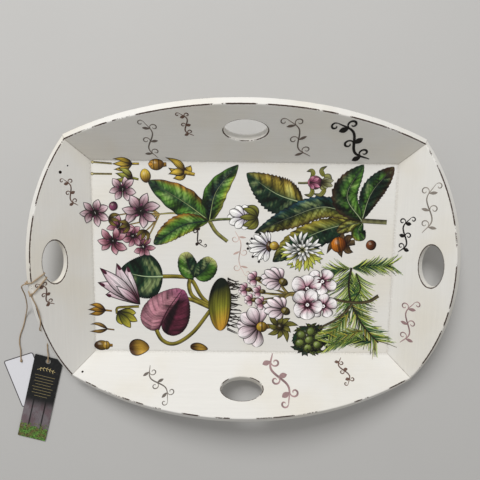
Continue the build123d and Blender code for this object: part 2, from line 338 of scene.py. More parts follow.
def paint_board(name, long_side):
    """Chalk paint on a flared board, rubbed off along its rim and its hand hole."""
    look = settings().paint
    finish = Finish(name, Roughness=0.8, Specular_IOR_Level=0.35)
    x, y, z = finish.place()
    along, across = (x, y) if long_side else (y, x)
    half, foot = (HALF_LENGTH, HALF_WIDTH) if long_side else (HALF_WIDTH, HALF_LENGTH)
    rim_height = LONG_RIM_HEIGHT if long_side else SHORT_RIM_HEIGHT

    # where the point is on the board: up its slope, and above its inner face
    out = finish.minus(finish.sum("ABSOLUTE", across), foot)
    rise = finish.minus(z, PANEL_TOP)
    height = finish.plus(finish.times(out, SIN_F), finish.times(rise, COS_F))
    lift = finish.minus(finish.times(rise, SIN_F), finish.times(out, COS_F))

    # how far it is from the rim's arc, the hole's oval and the mitre
    radius = rim_radius(half, rim_height)
    from_centre = distance_in_plane(finish, along, finish.minus(height, rim_height - radius))
    to_rim = finish.minus(radius, from_centre)
    oval_x = finish.sum("DIVIDE", along, HOLE_HALF_LENGTH)
    oval_y = finish.sum("DIVIDE", finish.minus(height, HOLE_CENTRE_HEIGHT), HOLE_HALF_HEIGHT)
    oval = finish.minus(distance_in_plane(finish, oval_x, oval_y), 1.0)
    to_hole = finish.times(oval, (HOLE_HALF_LENGTH + HOLE_HALF_HEIGHT) / 2)
    past_end = finish.minus(finish.sum("ABSOLUTE", along), half)
    to_mitre = finish.minus(out, past_end)
    outer_lift = finish.plus(lift, BOARD_THICKNESS)

    where = finish.point()
    patches = finish.noise(where, 30.0, 2.0, 0.5)
    crumbs = finish.noise(where, 420.0, 3.0, 0.6)
    rubbing = finish.plus(patches, finish.times(finish.minus(crumbs, 0.5), 0.35))
    # the front rim is rubbed least, and the back and left rims most
    worn, handled = (0.04, -0.11) if long_side else (0.0, 0.05)
    rubbing = finish.plus(rubbing, finish.times(finish.step(across, 0.0, -foot), handled))
    threshold = 0.66 - worn - 0.34 * look.rubbed_share

    def rubbed(edge, toughness=0.0, width=1.0):
        """Where paint is gone near one edge."""
        near = finish.plus(edge, finish.times(finish.minus(crumbs, 0.5), 1.6 * MM))
        close = finish.step(near, look.rubbed * width * 1.25, look.rubbed * width * 0.8)
        low = threshold + toughness
        return finish.times(close, finish.step(rubbing, low, low + 0.05))

    bare = finish.most(
        rubbed(distance_in_plane(finish, to_rim, lift)),
        rubbed(distance_in_plane(finish, to_rim, outer_lift), 0.07, 0.8),
        rubbed(distance_in_plane(finish, to_hole, lift), -0.05, 0.9),
        rubbed(distance_in_plane(finish, to_hole, outer_lift), 0.05, 0.8),
        rubbed(finish.plus(to_mitre, 0.8 * MM), 0.03, 0.55),
    )

    # the blind ageing holes are the only places below the face and clear of every edge
    inside = finish.step(lift, -0.1 * MM, -0.5 * MM)
    shallow = finish.step(lift, -AGEING_HOLE_DEPTH - 0.6 * MM, -AGEING_HOLE_DEPTH - 0.2 * MM)
    clear = finish.times(finish.step(to_rim, 4 * MM, 5 * MM), finish.step(to_hole, 4 * MM, 5 * MM))
    clear = finish.times(clear, finish.step(to_mitre, 2 * MM, 3 * MM))
    pit = finish.times(finish.times(inside, shallow), clear)
    bare = finish.most(bare, pit)

    streak, fine = brushed(finish, along, height)
    cloud = finish.noise(where, 9.0, 3.0, 0.5)
    chalk = chalk_colour(finish, streak, fine, cloud)
    # painted shade, broken into patches: darker along the board's foot where it meets the panel, and down
    # each mitre
    shade_at_foot = finish.times(finish.step(height, 5 * MM, 0.0), 0.32)
    shade_at_foot = finish.times(shade_at_foot, finish.step(crumbs, 0.3, 0.7))
    shade_at_mitre = finish.times(finish.step(to_mitre, 1.6 * MM, 0.3 * MM), 0.4)
    chalk = finish.mix(finish.most(shade_at_foot, shade_at_mitre), chalk, tuple(look.corner_shade))
    grain_at = finish.vector(finish.times(along, 40.0), finish.times(height, 900.0))
    grain = finish.noise(grain_at, 1.0, 3.0, 0.6)
    timber = finish.shade(tuple(look.wood), finish.scaled(grain, 1.1, 0.45))
    finish.colour(finish.mix(bare, chalk, timber))
    rough = finish.scaled(streak, 0.22, 0.62)
    finish.roughness(finish.plus(rough, finish.times(bare, 0.05)))
    ridges = finish.plus(streak, finish.times(fine, 0.45))
    finish.bump(finish.minus(ridges, finish.times(bare, 1.6)), look.stroke_depth)
    return finish.material


def paint_panel():
    """Chalk paint on the panel, brushed the long way, under a thin coat of varnish."""
    look = settings().paint
    finish = Finish("panel_chalk_paint", Roughness=0.6, Specular_IOR_Level=0.4)
    x, y, _ = finish.place()
    streak, fine = brushed(finish, x, y)
    where = finish.point()
    cloud = finish.noise(where, 7.0, 3.0, 0.5)
    crumbs = finish.noise(where, 300.0, 3.0, 0.6)
    end = finish.minus(HALF_LENGTH, finish.sum("ABSOLUTE", x))
    side = finish.minus(HALF_WIDTH, finish.sum("ABSOLUTE", y))
    to_joint = finish.sum("MINIMUM", end, side)
    # painted shade, broken into patches: darker along the panel's edges where the boards stand over it
    settled = finish.times(finish.step(to_joint, 4 * MM, 0.5 * MM), 0.28)
    settled = finish.times(settled, finish.step(crumbs, 0.25, 0.75))
    chalk = chalk_colour(finish, streak, fine, cloud)
    finish.colour(finish.mix(settled, chalk, tuple(look.corner_shade)))
    finish.roughness(finish.scaled(streak, 0.3, 0.42))
    finish.bump(finish.plus(streak, finish.times(fine, 0.5)), look.stroke_depth)
    return finish.material


def printed_paint():
    """Colours laid on the shapes, with the fine strokes and outlines of an engraver."""
    look = settings().print
    finish = Finish("print_inks", Roughness=0.5, Specular_IOR_Level=0.25)
    paint = finish.attribute("paint").outputs["Color"]
    flow = finish.attribute("flow")
    phase, strength, inset = finish.node("ShaderNodeSeparateColor", [flow.outputs["Color"]]).outputs
    length = flow.outputs["Alpha"]
    x, y, _ = finish.place()
    where = finish.point()
    wobble = finish.times(finish.minus(finish.noise(where, 260.0, 2.0), 0.5), 0.2)
    phase = finish.plus(phase, wobble)

    def line(value, shift, wide, narrow):
        """Strokes where value passes a whole number, moved along by shift."""
        part = finish.sum("FRACT", finish.plus(value, 0.5 - shift))
        off = finish.times(finish.sum("ABSOLUTE", finish.minus(part, 0.5)), 2.0)
        return finish.times(finish.step(off, wide, narrow), strength)

    vein = line(phase, 0.0, 0.42, 0.08)
    hatch = line(finish.times(phase, 4.0), 0.5, 0.8, 0.2)
    bristle_at = finish.vector(finish.times(phase, 7.0), finish.times(length, 2.6))
    bristle = finish.noise(bristle_at, 1.0, 3.0, 0.65)
    pigment = finish.plus(finish.times(finish.noise(where, 700.0, 3.0), 0.3), 0.4)
    colour = finish.shade(paint, finish.plus(pigment, finish.times(bristle, 0.9)))
    colour = finish.mix(finish.times(hatch, 0.6), colour, finish.shade(paint, 0.3))
    colour = finish.mix(finish.times(vein, 0.92), colour, finish.shade(paint, 0.06))
    inset = finish.plus(inset, finish.times(wobble, 2.2))
    outline = finish.times(finish.step(inset, 1.25, 0.45), 0.96)
    finish.colour(finish.mix(outline, colour, tuple(look.ink)))
    strokes, fine = brushed(finish, x, y)
    finish.roughness(finish.scaled(strokes, 0.2, 0.45))
    finish.bump(finish.plus(strokes, finish.times(fine, 0.4)), 0.06 * MM)
    return finish.material


# ------------------------------------------------------------------ the tray's surfaces
def rim_radius(half, rim_height):
    """Radius of the rim's arc, in the board's own plane."""
    half_chord = half + CORNER_RIM_HEIGHT * SIN_F
    rise = rim_height - CORNER_RIM_HEIGHT
    return (half_chord ** 2 + rise ** 2) / (2 * rise)


def rim_height_at(along, half, rim_height):
    """Height of the rim up the board's face, at a distance along the board."""
    radius = rim_radius(half, rim_height)
    return rim_height - radius + math.sqrt(radius ** 2 - along ** 2)


def up_the_slope(foot, height, lift):
    """Out from the middle and up, for a place on a board whose foot is that far out."""
    return foot + height * SIN_F - lift * COS_F, PANEL_TOP + height * COS_F + lift * SIN_F


def on_panel(x, y, lift):
    """Millimetres on the panel; past its edge the shape folds up onto the board."""
    x, y, lift = x * MM, y * MM, lift * MM
    past_end, past_side = abs(x) - HALF_LENGTH, abs(y) - HALF_WIDTH
    if past_end <= 0 and past_side <= 0:
        return Vector((x, y, PANEL_TOP + lift))
    if past_end > past_side:
        out, up = up_the_slope(HALF_LENGTH, past_end, lift)
        return Vector((math.copysign(out, x), y, up))
    out, up = up_the_slope(HALF_WIDTH, past_side, lift)
    return Vector((x, math.copysign(out, y), up))


def on_board(side):
    """A surface that takes millimetres along a board and up its inner face."""
    def surface(along, height, lift):
        foot = HALF_WIDTH if side in ("back", "front") else HALF_LENGTH
        out, up = up_the_slope(foot, height * MM, lift * MM)
        along *= MM
        return Vector({
            "back": (along, out, up), "front": (along, -out, up),
            "left": (-out, along, up), "right": (out, along, up),
        }[side])
    return surface


def on_left_board(along, height, lift):
    """A place by the left board in metres: along it, up its inner face, off that face."""
    out, up = up_the_slope(HALF_LENGTH, height, lift)
    return Vector((-out, along, up))


def beside(out, along, height):
    """A place beside the tray in metres: out from the panel's left end, along, above the table."""
    return Vector((-HALF_LENGTH - out, along, height))


# ------------------------------------------------------------------ making a mesh
def new_piece(name, places, faces, material, body, smooth=False):
    mesh = bpy.data.meshes.new(name)
    mesh.from_pydata([tuple(p) for p in places], [], faces)
    mesh.validate()
    mesh.materials.append(material)
    if smooth:
        mesh.shade_smooth()
    piece = bpy.data.objects.new(name, mesh)
    bpy.context.scene.collection.objects.link(piece)
    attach(piece, body)
    return piece


def through(points, count):
    """A smooth line through a few points, as count + 1 of its points."""
    points = [Vector(p) for p in points]
    if len(points) == 2:
        return [points[0].lerp(points[1], i / count) for i in range(count + 1)]
    padded = [2 * points[0] - points[1], *points, 2 * points[-1] - points[-2]]
    spans = len(points) - 1
    line = []
    for i in range(count + 1):
        at = min(i / count * spans, spans - 1e-9)
        k, t = int(at), at - int(at)
        a, b, c, d = padded[k:k + 4]
        line.append(0.5 * (2 * b + (c - a) * t + (2 * a - 5 * b + 4 * c - d) * t * t
                           + (3 * b - a - 3 * c + d) * t ** 3))
    return line


def length_of(line):
    return sum((b - a).length for a, b in zip(line, line[1:]))


def blend(a, b, share):
    share = min(1.0, max(0.0, share))
    return tuple(p + (q - p) * share for p, q in zip(a, b))


def shaded(colour, level):
    return tuple(c * level for c in colour)


def bulge(t, widest=0.5, sharp=1.0):
    """0 at both ends and 1 where widest; sharp below 1 is rounder and above 1 more pointed."""
    power = math.log(0.5) / math.log(widest)
    return max(0.0, math.sin(math.pi * t ** power)) ** sharp


class Artwork:
    """Thin closed shapes of paint on one surface, gathered into one piece."""

    def __init__(self, surface):
        self.surface = surface
        self.level = 0
        self.count = 0
        self.places, self.faces, self.paints, self.flows = [], [], [], []

    def blade(self, spine, width, paint, flow=None, rows=24, sides=4, above=0, outline=1.0, rounded=False):
        """A strip along a line, as wide each way as width says, painted point by point."""
        fine = 4 * rows
        line = through(spine, fine)
        across = [math.sin(math.pi / 2 * i / sides) for i in range(-sides, sides + 1)]
        self.count += 1
        top = PAINT_BUILD + PAINT_STEP * (self.level + above) + PAINT_HAIR * (self.count % HAIRS)
        first = len(self.places)
        for lift in (top, -PAINT_SINK):
            for row in range(rows + 1):
                t = row / rows
                if rounded:
                    t = (1 - math.cos(math.pi * t)) / 2
                k = min(fine - 1, int(t * fine))
                here = line[k].lerp(line[k + 1], t * fine - k)
                ahead = (line[min(k + 2, fine)] - line[max(k - 1, 0)]).normalized()
                side = Vector((-ahead.y, ahead.x))
                reach = width(t)
                left, right = reach if isinstance(reach, tuple) else (reach, reach)
                for v in across:
                    spread = max(0.1, left if v > 0 else right)
                    place = here + side * (v * spread)
                    self.places.append(self.surface(place.x, place.y, lift))
                    self.paints.append(paint(t, v))
                    phase, strength, length = flow(t, v) if flow else (0.0, 0.0, t)
                    inset = (1 - abs(v)) * spread / outline if outline else NO_OUTLINE
                    self.flows.append((phase, strength, inset, length))
        wide = len(across)
        size = wide * (rows + 1)

        def quad(a, b, c, d, flipped):
            self.faces.append((d, c, b, a) if flipped else (a, b, c, d))

        for row in range(rows):
            for column in range(wide - 1):
                a = first + row * wide + column
                corner = (a, a + 1, a + 1 + wide, a + wide)
                quad(*corner, True)
                quad(*(k + size for k in corner), False)
            a = first + row * wide
            b = a + wide - 1
            quad(a, a + wide, a + wide + size, a + size, False)
            quad(b, b + wide, b + wide + size, b + size, True)
        for column in range(wide - 1):
            a = first + column
            b = a + rows * wide
            quad(a, a + 1, a + 1 + size, a + size, True)
            quad(b, b + 1, b + 1 + size, b + size, False)

    def piece(self, name, body="tray", slot="panel_paint"):
        made = new_piece(name, self.places, self.faces, ink_material(), body)
        paint = made.data.attributes.new("paint", "FLOAT_COLOR", "POINT")
        paint.data.foreach_set("color", [c for p in self.paints for c in (*p, 1.0)])
        flow = made.data.attributes.new("flow", "FLOAT_COLOR", "POINT")
        flow.data.foreach_set("color", [c for f in self.flows for c in f])
        return made


def ink_material():
    return bpy.data.materials.get("print_inks") or printed_paint()


# ------------------------------------------------------------------ parts of plants
def inks(*names):
    """Colours of the print by name, as the user has set them."""
    look = settings().print
    return [tuple(getattr(look, name)) for name in names]


def tints(*codes):
    """Colours of the print that stay the same."""
    return [linear(code) for code in codes]


def around(middle, angle, across, up):
    """A place on an oval round a middle."""
    return Vector(middle) + Vector((math.cos(angle) * across, math.sin(angle) * up))


def fan(middle, first, step, count, across, up):
    """Places on an oval round a middle, at even angles in degrees."""
    return [around(middle, math.radians(first + step * i), across, up) for i in range(count)]


def stem(art, points, width, light, dark, taper=0.5, rows=20):
    """A stalk, lit along one side and lined along the other."""
    def paint(t, v):
        return blend(dark, light, 0.55 + 0.55 * v + 0.15 * math.sin(23 * t))

    def half(t):
        return width / 2 * (1 - (1 - taper) * t)

    art.blade(points, half, paint, lambda t, v: (v * 1.4 + 0.3, 0.35, 9 * t), rows=rows, sides=3,
              outline=min(0.8, width / 7))
    art.level += 1


def three_way(colours, share):
    """From the first colour through the second to the third."""
    first, second, third = colours
    return blend(first, second, share * 2) if share < 0.5 else blend(second, third, share * 2 - 1)


def leaf(art, spine, width, upper, lower, tip, rib, teeth=0, bite=0.12, widest=0.42, sharp=0.72,
         spacing=11.0, slant=1.9, shine=0.5, mottle=1.0):
    """A leaf; upper and lower are each side's colours by the rib, half way and at the margin."""
    length = length_of(through(spine, 40))
    veins = length / spacing
    left, right = width if isinstance(width, tuple) else (width / 2, width / 2)
    pale = linear("C2D08A")

    def half(t):
        notch = 1 + bite * ((t * teeth) % 1.0 - 0.6) if teeth else 1 + 0.03 * math.sin(31 * t)
        size = bulge(t, widest, sharp) * notch
        return left * size, right * size

    def phase(t, v):
        return t * veins - slant * abs(v) * bulge(t, 0.5, 0.6)

    def paint(t, v):
        across = abs(v)
        colour = three_way(upper if v > 0 else lower, across ** 1.15)
        here = phase(t, v) * 1.7
        hand = 3.0 if v > 0 else 8.0
        wide = noise.noise(Vector((here * 0.55, across * 0.9, length + hand)))
        narrow = noise.noise(Vector((here * 1.9, across * 1.6, length + hand)))
        level = 0.9 + mottle * (1.5 * wide + 1.1 * narrow)
        colour = shaded(colour, max(0.1, level) * (1 - 0.5 * across ** 5))
        glow = max(0.0, wide + 0.7 * narrow - 0.2) * shine * 2.0 * math.sin(math.pi * min(1.0, across * 1.2))
        colour = blend(colour, pale, min(0.45, glow))
        colour = blend(shaded(colour, 0.3), colour, t * 7)
        return blend(colour, tip, (t - 0.78) / 0.24)

    def flow(t, v):
        across = abs(v)
        return phase(t, v), 0.5 * min(1.0, 5 * across) * (1 - across ** 6), 2.2 * across

    art.blade(spine, half, paint, flow, rows=90, sides=7, outline=0.8)
    art.level += 1
    if rib is None:
        return

    def rib_half(t):
        return 0.22 + (left + right) * 0.018 * (1 - t)

    middle = (Vector(spine[0]) + Vector(spine[-1])) / 2
    line = spine if len(spine) > 2 else [spine[0], middle, spine[1]]
    art.blade(line, rib_half, lambda t, v: shaded(rib, 1.0 + 0.35 * v), rows=40, sides=2, outline=0.45)
    art.level += 1


def petal(art, base, tip, width, throat, body, rim, widest=0.62, sharp=0.7, bend=0.0, above=0, streaks=1.0,
          lined=0.95):
    """One petal: throat, body and rim are its colours from the flower's middle outwards."""
    base, tip = Vector(base), Vector(tip)
    reach = tip - base
    middle = (base + tip) / 2 + Vector((-reach.y, reach.x)) * bend
    seed = base.x + 3 * tip.y

    def paint(t, v):
        colour = blend(throat, body, t * 2.1 - 0.3 - 0.25 * abs(v))
        colour = blend(colour, rim, (t - 0.5) * 2.0 + 0.25 * v)
        streak = noise.noise(Vector((v * 3.1, t * 1.1, seed)))
        return shaded(colour, 0.92 + 0.16 * math.cos(2.2 * v + 0.7) + 0.45 * streak)

    def flow(t, v):
        return v * streaks, lined * max(0.0, 1.1 - 1.1 * t), 3.0 * t

    art.blade([base, middle, tip], lambda t: width / 2 * bulge(t, widest, sharp), paint, flow, rows=15,
              above=above, outline=max(0.3, min(1.8, width / 8.5)), rounded=True)


def petals(art, root, tips, width, colours, bends=(0.0,), order=(0, 1, 2), **shape):
    """Petals from one root to each tip in turn, lapped one over another."""
    for i, tip in enumerate(tips):
        petal(art, root, tip, width, *colours, bend=bends[i % len(bends)], above=order[i % 3], **shape)
    art.level += 3


def ring_of_petals(art, centre, count, inner, outer, width, colours, turn=0.0, squeeze=1.0, sweep=1.0,
                   **shape):
    """Petals round a middle; squeeze flattens the flower and sweep is the share of a full ring."""
    centre = Vector(centre)
    draw = random.Random(int(1000 * (centre.x + 7 * centre.y)))
    for i in range(count):
        angle = turn + 2 * math.pi * sweep * (i + 0.14 * draw.uniform(-1, 1)) / count
        away = Vector((math.cos(angle), math.sin(angle) * squeeze))
        reach = outer * draw.uniform(0.9, 1.08)
        petal(art, centre + away * inner, centre + away * reach, width * draw.uniform(0.9, 1.1), *colours,
              above=i % 3, bend=0.16 * draw.uniform(-1, 1), **shape)
    art.level += 3


def berry(art, centre, along, across, turn, colour, dark=None, sides=5, bands=0.0):
    """A round or long fruit, lit from the upper left; dark is the colour of its far end."""
    centre = Vector(centre)
    axis = Vector((math.cos(turn), math.sin(turn)))
    light = Vector((-0.5, 0.62)).normalized()
    square = Vector((-axis.y, axis.x))

    def paint(t, v):
        here = axis * (2 * t - 1) + square * (v * bulge(t, 0.5, 0.5))
        lit = max(0.0, 0.5 + 0.6 * here.dot(light)) * (1 - 0.65 * here.length ** 3)
        shine = max(0.0, 1 - (here - light * 0.42).length * 3.0)
        base = blend(colour, dark, 1.5 * t - 0.4) if dark else colour
        return blend(shaded(base, 0.16 + 1.3 * lit), linear("F6F1DC"), shine * 0.6)

    def flow(t, v):
        return (t * bands, 0.8, 2.0 * v) if bands else (v * 2.5, 0.4, 2.0 * t)

    spine = [centre - axis * along / 2, centre, centre + axis * along / 2]
    art.blade(spine, lambda t: across / 2 * bulge(t, 0.5, 0.5), paint, flow, rows=16, sides=sides,
              outline=min(1.0, across / 14), rounded=True)
    art.level += 1


def pod(art, centre, long_, wide, turn, colour, dark, beaks=3):
    """A small dry pod whose scales end in dark beaks, on a short stalk."""
    centre = Vector(centre)
    ahead = Vector((math.cos(turn), math.sin(turn)))
    side = Vector((-ahead.y, ahead.x))
    stem(art, [centre + ahead * long_ * 0.3, centre + ahead * long_ * 0.66], wide * 0.2, colour, dark, 0.9, 5)
    for i in range(beaks):
        spread = (i - (beaks - 1) / 2) / max(1, beaks - 1)
        tip = centre - ahead * long_ * (0.6 - 0.14 * abs(spread)) + side * spread * wide * 0.9
        petal(art, centre + ahead * long_ * 0.36, tip, wide * 0.5, shaded(dark, 0.6), shaded(colour, 1.25),
              shaded(dark, 0.5), above=i % 3, bend=-0.2 * spread, widest=0.42, sharp=1.2, streaks=1.6)
    art.level += 3


def dots(art, places, size, colour, outline=0.0):
    """Small round spots."""
    reach = Vector((size / 2, 0))
    for place in places:
        place = Vector(place)
        art.blade([place - reach, place + reach], lambda t: size / 2 * bulge(t, 0.5, 0.5),
                  lambda t, v: colour, rows=8, sides=2, outline=outline, rounded=True)
    art.level += 1


def curl(start, heading, radius, turns, hand):
    """A spiral that leaves start along heading and winds in, to the left if hand is 1."""
    points = []
    steps = max(6, int(8 * turns))
    centre = start + Vector((-heading.y, heading.x)) * (hand * radius)
    spoke = start - centre
    for i in range(steps + 1):
        t = i / steps
        points.append(centre + Matrix.Rotation(hand * 2 * math.pi * turns * t, 2) @ spoke * (1 - 0.72 * t))
    return points


def tendril(art, start, end, sway, thick, colour, curls=3):
    """A climbing stalk painted with a brush: one long bend with spirals and small leaves."""
    start, end = Vector(start), Vector(end)
    run = end - start
    side = Vector((-run.y, run.x)).normalized() * sway
    spine = [start, start + run * 0.3 + side, start + run * 0.68 - side * 0.8, end]

    def stroke(points, widest, rows):
        def half(t):
            return widest / 2 * (0.3 + 0.7 * bulge(t, 0.45, 0.8))

        art.blade(points, half, lambda t, v: shaded(colour, 1 + 0.3 * math.sin(9 * t)),
                  lambda t, v: (v, 0.0, 12 * t), rows=rows, sides=2, outline=0.0)

    stroke(spine, thick, 44)
    line = through(spine, 60)
    for i in range(curls):
        k = int(60 * (i + 0.6) / (curls + 0.3))
        heading = (line[min(k + 1, 60)] - line[k - 1]).normalized()
        hand = 1 if i % 2 else -1
        radius = run.length * 0.09
        art.level += 1
        stroke(curl(line[k], heading, radius, 1.05, hand), thick * 0.8, 22)
        tip = line[k] + Matrix.Rotation(-hand * 0.95, 2) @ heading * radius * 1.9
        art.blade([line[k], tip], lambda t: thick * 1.15 * bulge(t, 0.55, 0.9) + 0.1,
                  lambda t, v: colour, rows=10, sides=2, above=1, outline=0.0, rounded=True)
    last = (line[-1] - line[-2]).normalized()
    art.level += 1
    stroke(curl(line[-1], last, run.length * 0.075, 0.9, 1), thick * 0.75, 20)
    art.level += 1


def sprig_of_needles(art, twig, reach, colours, lean, draw, spacing, thin):
    """Needles down both sides of a twig, which point away from its foot."""
    line = through(twig, max(8, int(length_of(through(twig, 20)) / spacing)))
    for before, here in zip(line, line[1:]):
        heading = (here - before).normalized()
        for hand in (-1, 1):
            away = Matrix.Rotation(hand * lean * draw.uniform(0.75, 1.25), 2) @ heading
            tip = here + away * reach * draw.uniform(0.72, 1.1)
            colour = colours[draw.randrange(len(colours))]
            middle = here.lerp(tip, 0.5) + heading * reach * 0.05
            art.blade([here, middle, tip], lambda t: thin * (1 - 0.8 * t),
                      lambda t, v, c=colour: shaded(c, 1 + 0.35 * v), rows=5, sides=1,
                      above=draw.randrange(5), outline=0.0)
    art.level += 2


# ------------------------------------------------------------------ twine
def spline_points(name, route):
    """A smooth cord line whose control points are the route, read back as points."""
    curve = bpy.data.curves.new(name, "CURVE")
    curve.dimensions = "3D"
    curve.resolution_u = 10
    spline = curve.splines.new("NURBS")
    spline.points.add(len(route) - 1)
    for point, place in zip(spline.points, route):
        point.co = (*place, 1.0)
    spline.order_u = 3
    spline.use_endpoint_u = True
    holder = bpy.data.objects.new(name, curve)
    bpy.context.scene.collection.objects.link(holder)
    bpy.context.view_layer.update()
    mesh = bpy.data.meshes.new_from_object(holder)
    points = [v.co.copy() for v in mesh.vertices]
    bpy.data.objects.remove(holder)
    bpy.data.meshes.remove(mesh)
    bpy.data.curves.remove(curve)
    return points


def evenly(points, spacing):
    """The same line with its points an even distance apart."""
    total = length_of(points)
    count = max(4, round(total / spacing))
    line, passed, k = [points[0]], 0.0, 0
    for i in range(1, count):
        target = total * i / count
        while passed + (points[k + 1] - points[k]).length < target:
            passed += (points[k + 1] - points[k]).length
            k += 1
        run = points[k + 1] - points[k]
        line.append(points[k] + run * ((target - passed) / run.length))
    line.append(points[-1])
    return line


def frames_along(line):
    """The directions ahead and sideways at each point of a line, which never twist about it."""
    ahead = [(line[min(i + 1, len(line) - 1)] - line[max(i - 1, 0)]).normalized() for i in range(len(line))]
    side = ahead[0].orthogonal().normalized()
    sides = [side]
    for before, here in zip(ahead, ahead[1:]):
        side = before.rotation_difference(here) @ side
        side = (side - here * side.dot(here)).normalized()
        sides.append(side)
    return ahead, sides


STEPS_TO_A_TURN = 12


class Strands:
    """Round strands, each closed at its ends, gathered into one piece."""

    def __init__(self):
        self.places, self.faces = [], []

    def tube(self, line, radius, sides=6):
        """radius is one number, or one for each point of the line."""
        ahead, across = frames_along(line)
        first = len(self.places)
        for i, here in enumerate(line):
            up = ahead[i].cross(across[i])
            size = radius[i] if isinstance(radius, list) else radius
            for k in range(sides):
                angle = 2 * math.pi * k / sides
                self.places.append(here + (across[i] * math.cos(angle) + up * math.sin(angle)) * size)
        for i in range(len(line) - 1):
            for k in range(sides):
                a, b = first + i * sides + k, first + i * sides + (k + 1) % sides
                self.faces.append((a, b, b + sides, a + sides))
        last = first + (len(line) - 1) * sides
        self.faces.append(tuple(range(first + sides - 1, first - 1, -1)))
        self.faces.append(tuple(range(last, last + sides)))

    def twisted(self, points, look, seed, hairs, share=1.0):
        """Plies wound round a line, with so many hairs to the millimetre; share thins the twine."""
        plies = look.plies
        radius = look.diameter / 2 * share
        ply = radius / (1 + 1 / math.sin(math.pi / plies))
        offset = radius - ply
        line = evenly(points, look.lay * share / STEPS_TO_A_TURN)
        ahead, across = frames_along(line)
        step = length_of(line) / (len(line) - 1)
        draw = random.Random(seed)
        for k in range(plies):
            strand, sizes = [], []
            for i, here in enumerate(line):
                angle = 2 * math.pi * (k / plies + i * step / (look.lay * share))
                up = ahead[i].cross(across[i])
                out = across[i] * math.cos(angle) + up * math.sin(angle)
                loose = 1 + 0.1 * noise.noise(Vector((i * 0.21, k * 5.0, seed)))
                strand.append(here + out * offset * loose)
                sizes.append(ply * (1.16 + 0.1 * noise.noise(Vector((i * 0.35, seed, k * 3.0)))))
            self.tube(strand, sizes)
        for _ in range(int(length_of(line) / MM * hairs)):
            i = draw.randrange(1, len(line) - 2)
            up = ahead[i].cross(across[i])
            angle = draw.uniform(0, 2 * math.pi)
            out = across[i] * math.cos(angle) + up * math.sin(angle)
            lean = ahead[i] * draw.uniform(-1, 1)
            base = line[i] + out * radius * 0.7
            reach = draw.uniform(0.7, 1.7) * MM * share
            hair = [base, base + (out + lean).normalized() * reach * 0.5,
                    base + (out * 0.75 + lean * 1.6).normalized() * reach]
            for point in hair:
                point.z = max(point.z, 0.1 * MM)
            self.tube(hair, [0.05 * MM, 0.04 * MM, 0.015 * MM], 3)

    def piece(self, name, body, slot, material):
        return new_piece(name, self.places, self.faces, material, body, smooth=True)


def jute():
    """Jute fibre: dull, uneven and hairy."""
    made = bpy.data.materials.get("jute_twine")
    if made:
        return made
    look = settings().twine
    finish = Finish("jute_twine", Roughness=0.9, Specular_IOR_Level=0.2, Sheen_Weight=0.25)
    where = finish.point()
    patches = finish.noise(where, 160.0, 3.0)
    fibres = finish.noise(where, 2600.0, 3.0, 0.7)
    level = finish.plus(finish.times(fibres, 0.75), finish.times(patches, 0.5))
    finish.colour(finish.shade(tuple(look.fibre), finish.plus(level, 0.32)))
    finish.roughness(finish.scaled(fibres, 0.15, 0.8))
    finish.bump(fibres, 0.25 * MM)
    return finish.material


def overhand(centre, radius, look, heading, seed):
    """A small tight knot: twine wound over itself three times round a middle."""
    strands = Strands()
    turn = Vector((0, 0, 1)).rotation_difference(Vector(heading).normalized())
    body = radius - look.diameter * 0.36
    loop = []
    for i in range(73):
        t = 2 * math.pi * i / 72
        x = math.sin(t) + 2 * math.sin(2 * t)
        y = math.cos(t) - 2 * math.cos(2 * t)
        loop.append(centre + turn @ (Vector((x, y, -1.7 * math.sin(3 * t))) * (body / 3.0)))
    strands.twisted(loop, look, seed, hairs=0.5, share=0.8)
    return strands


# The twine, in metres. A loop's two numbers are how far along the board it passes through the
# hand hole and how far along it crosses the rim.
TWINE_LIFT = 1.15 * MM
TWINE_BEND = 1.8 * MM
KNOT_HEIGHT = 3.2 * MM
RIM_KNOT_RADIUS = 2.9 * MM
END_KNOT_RADIUS = 2.0 * MM
WHITE_LOOP = (-15 * MM, -27 * MM)
BLACK_LOOP = (-22 * MM, -43 * MM)


def left_rim(along):
    return rim_height_at(along, HALF_WIDTH, SHORT_RIM_HEIGHT)


def left_hole_top(along):
    return HOLE_CENTRE_HEIGHT + HOLE_HALF_HEIGHT * math.sqrt(1 - (along / HOLE_HALF_LENGTH) ** 2)


def by_left_rim(along, above, lift):
    """A place by the left rim: along it, above it up the slope, and off the board's inner face."""
    return on_left_board(along, left_rim(along) + above, lift)


WHITE_KNOT = by_left_rim(-29 * MM, KNOT_HEIGHT, -11 * MM)
BLACK_KNOT = by_left_rim(-45 * MM, KNOT_HEIGHT, -1 * MM)

WHITE_TAIL_ROUTE = [
    WHITE_KNOT,
    beside(0.0890, -0.0330, 0.0670),
    beside(0.0950, -0.0420, 0.0520),
    beside(0.0985, -0.0550, 0.0360),
    beside(0.1040, -0.0680, 0.0210),
    beside(0.1090, -0.0830, 0.0080),
    beside(0.1155, -0.0990, 0.0010),
    beside(0.1200, -0.1170, 0.0010),
    beside(0.1265, -0.1320, 0.0010),
    beside(0.1285, -0.1460, 0.0012),
    beside(0.1260, -0.1580, 0.00165),
    beside(0.1270, -0.1680, 0.00175),
    beside(0.1263, -0.1769, 0.00195),
]

BLACK_TAIL_ROUTE = [
    BLACK_KNOT,
    by_left_rim(-0.055, 0.0010, 0.00195),
    by_left_rim(-0.070, -0.0015, 0.00145),
    by_left_rim(-0.084, -0.0005, 0.00155),
    by_left_rim(-0.093, 0.00185, 0.0),
    by_left_rim(-0.100, 0.00215, -0.0090),
    by_left_rim(-0.106, 0.00145, -0.0180),
    beside(0.0720, -0.1150, 0.0330),
    beside(0.0730, -0.1230, 0.0150),
    beside(0.0770, -0.1340, 0.0035),
    beside(0.0825, -0.1460, 0.0010),
    beside(0.0820, -0.1580, 0.0018),
    beside(0.0805, -0.1680, 0.00335),
    beside(0.0815, -0.1770, 0.00355),
]


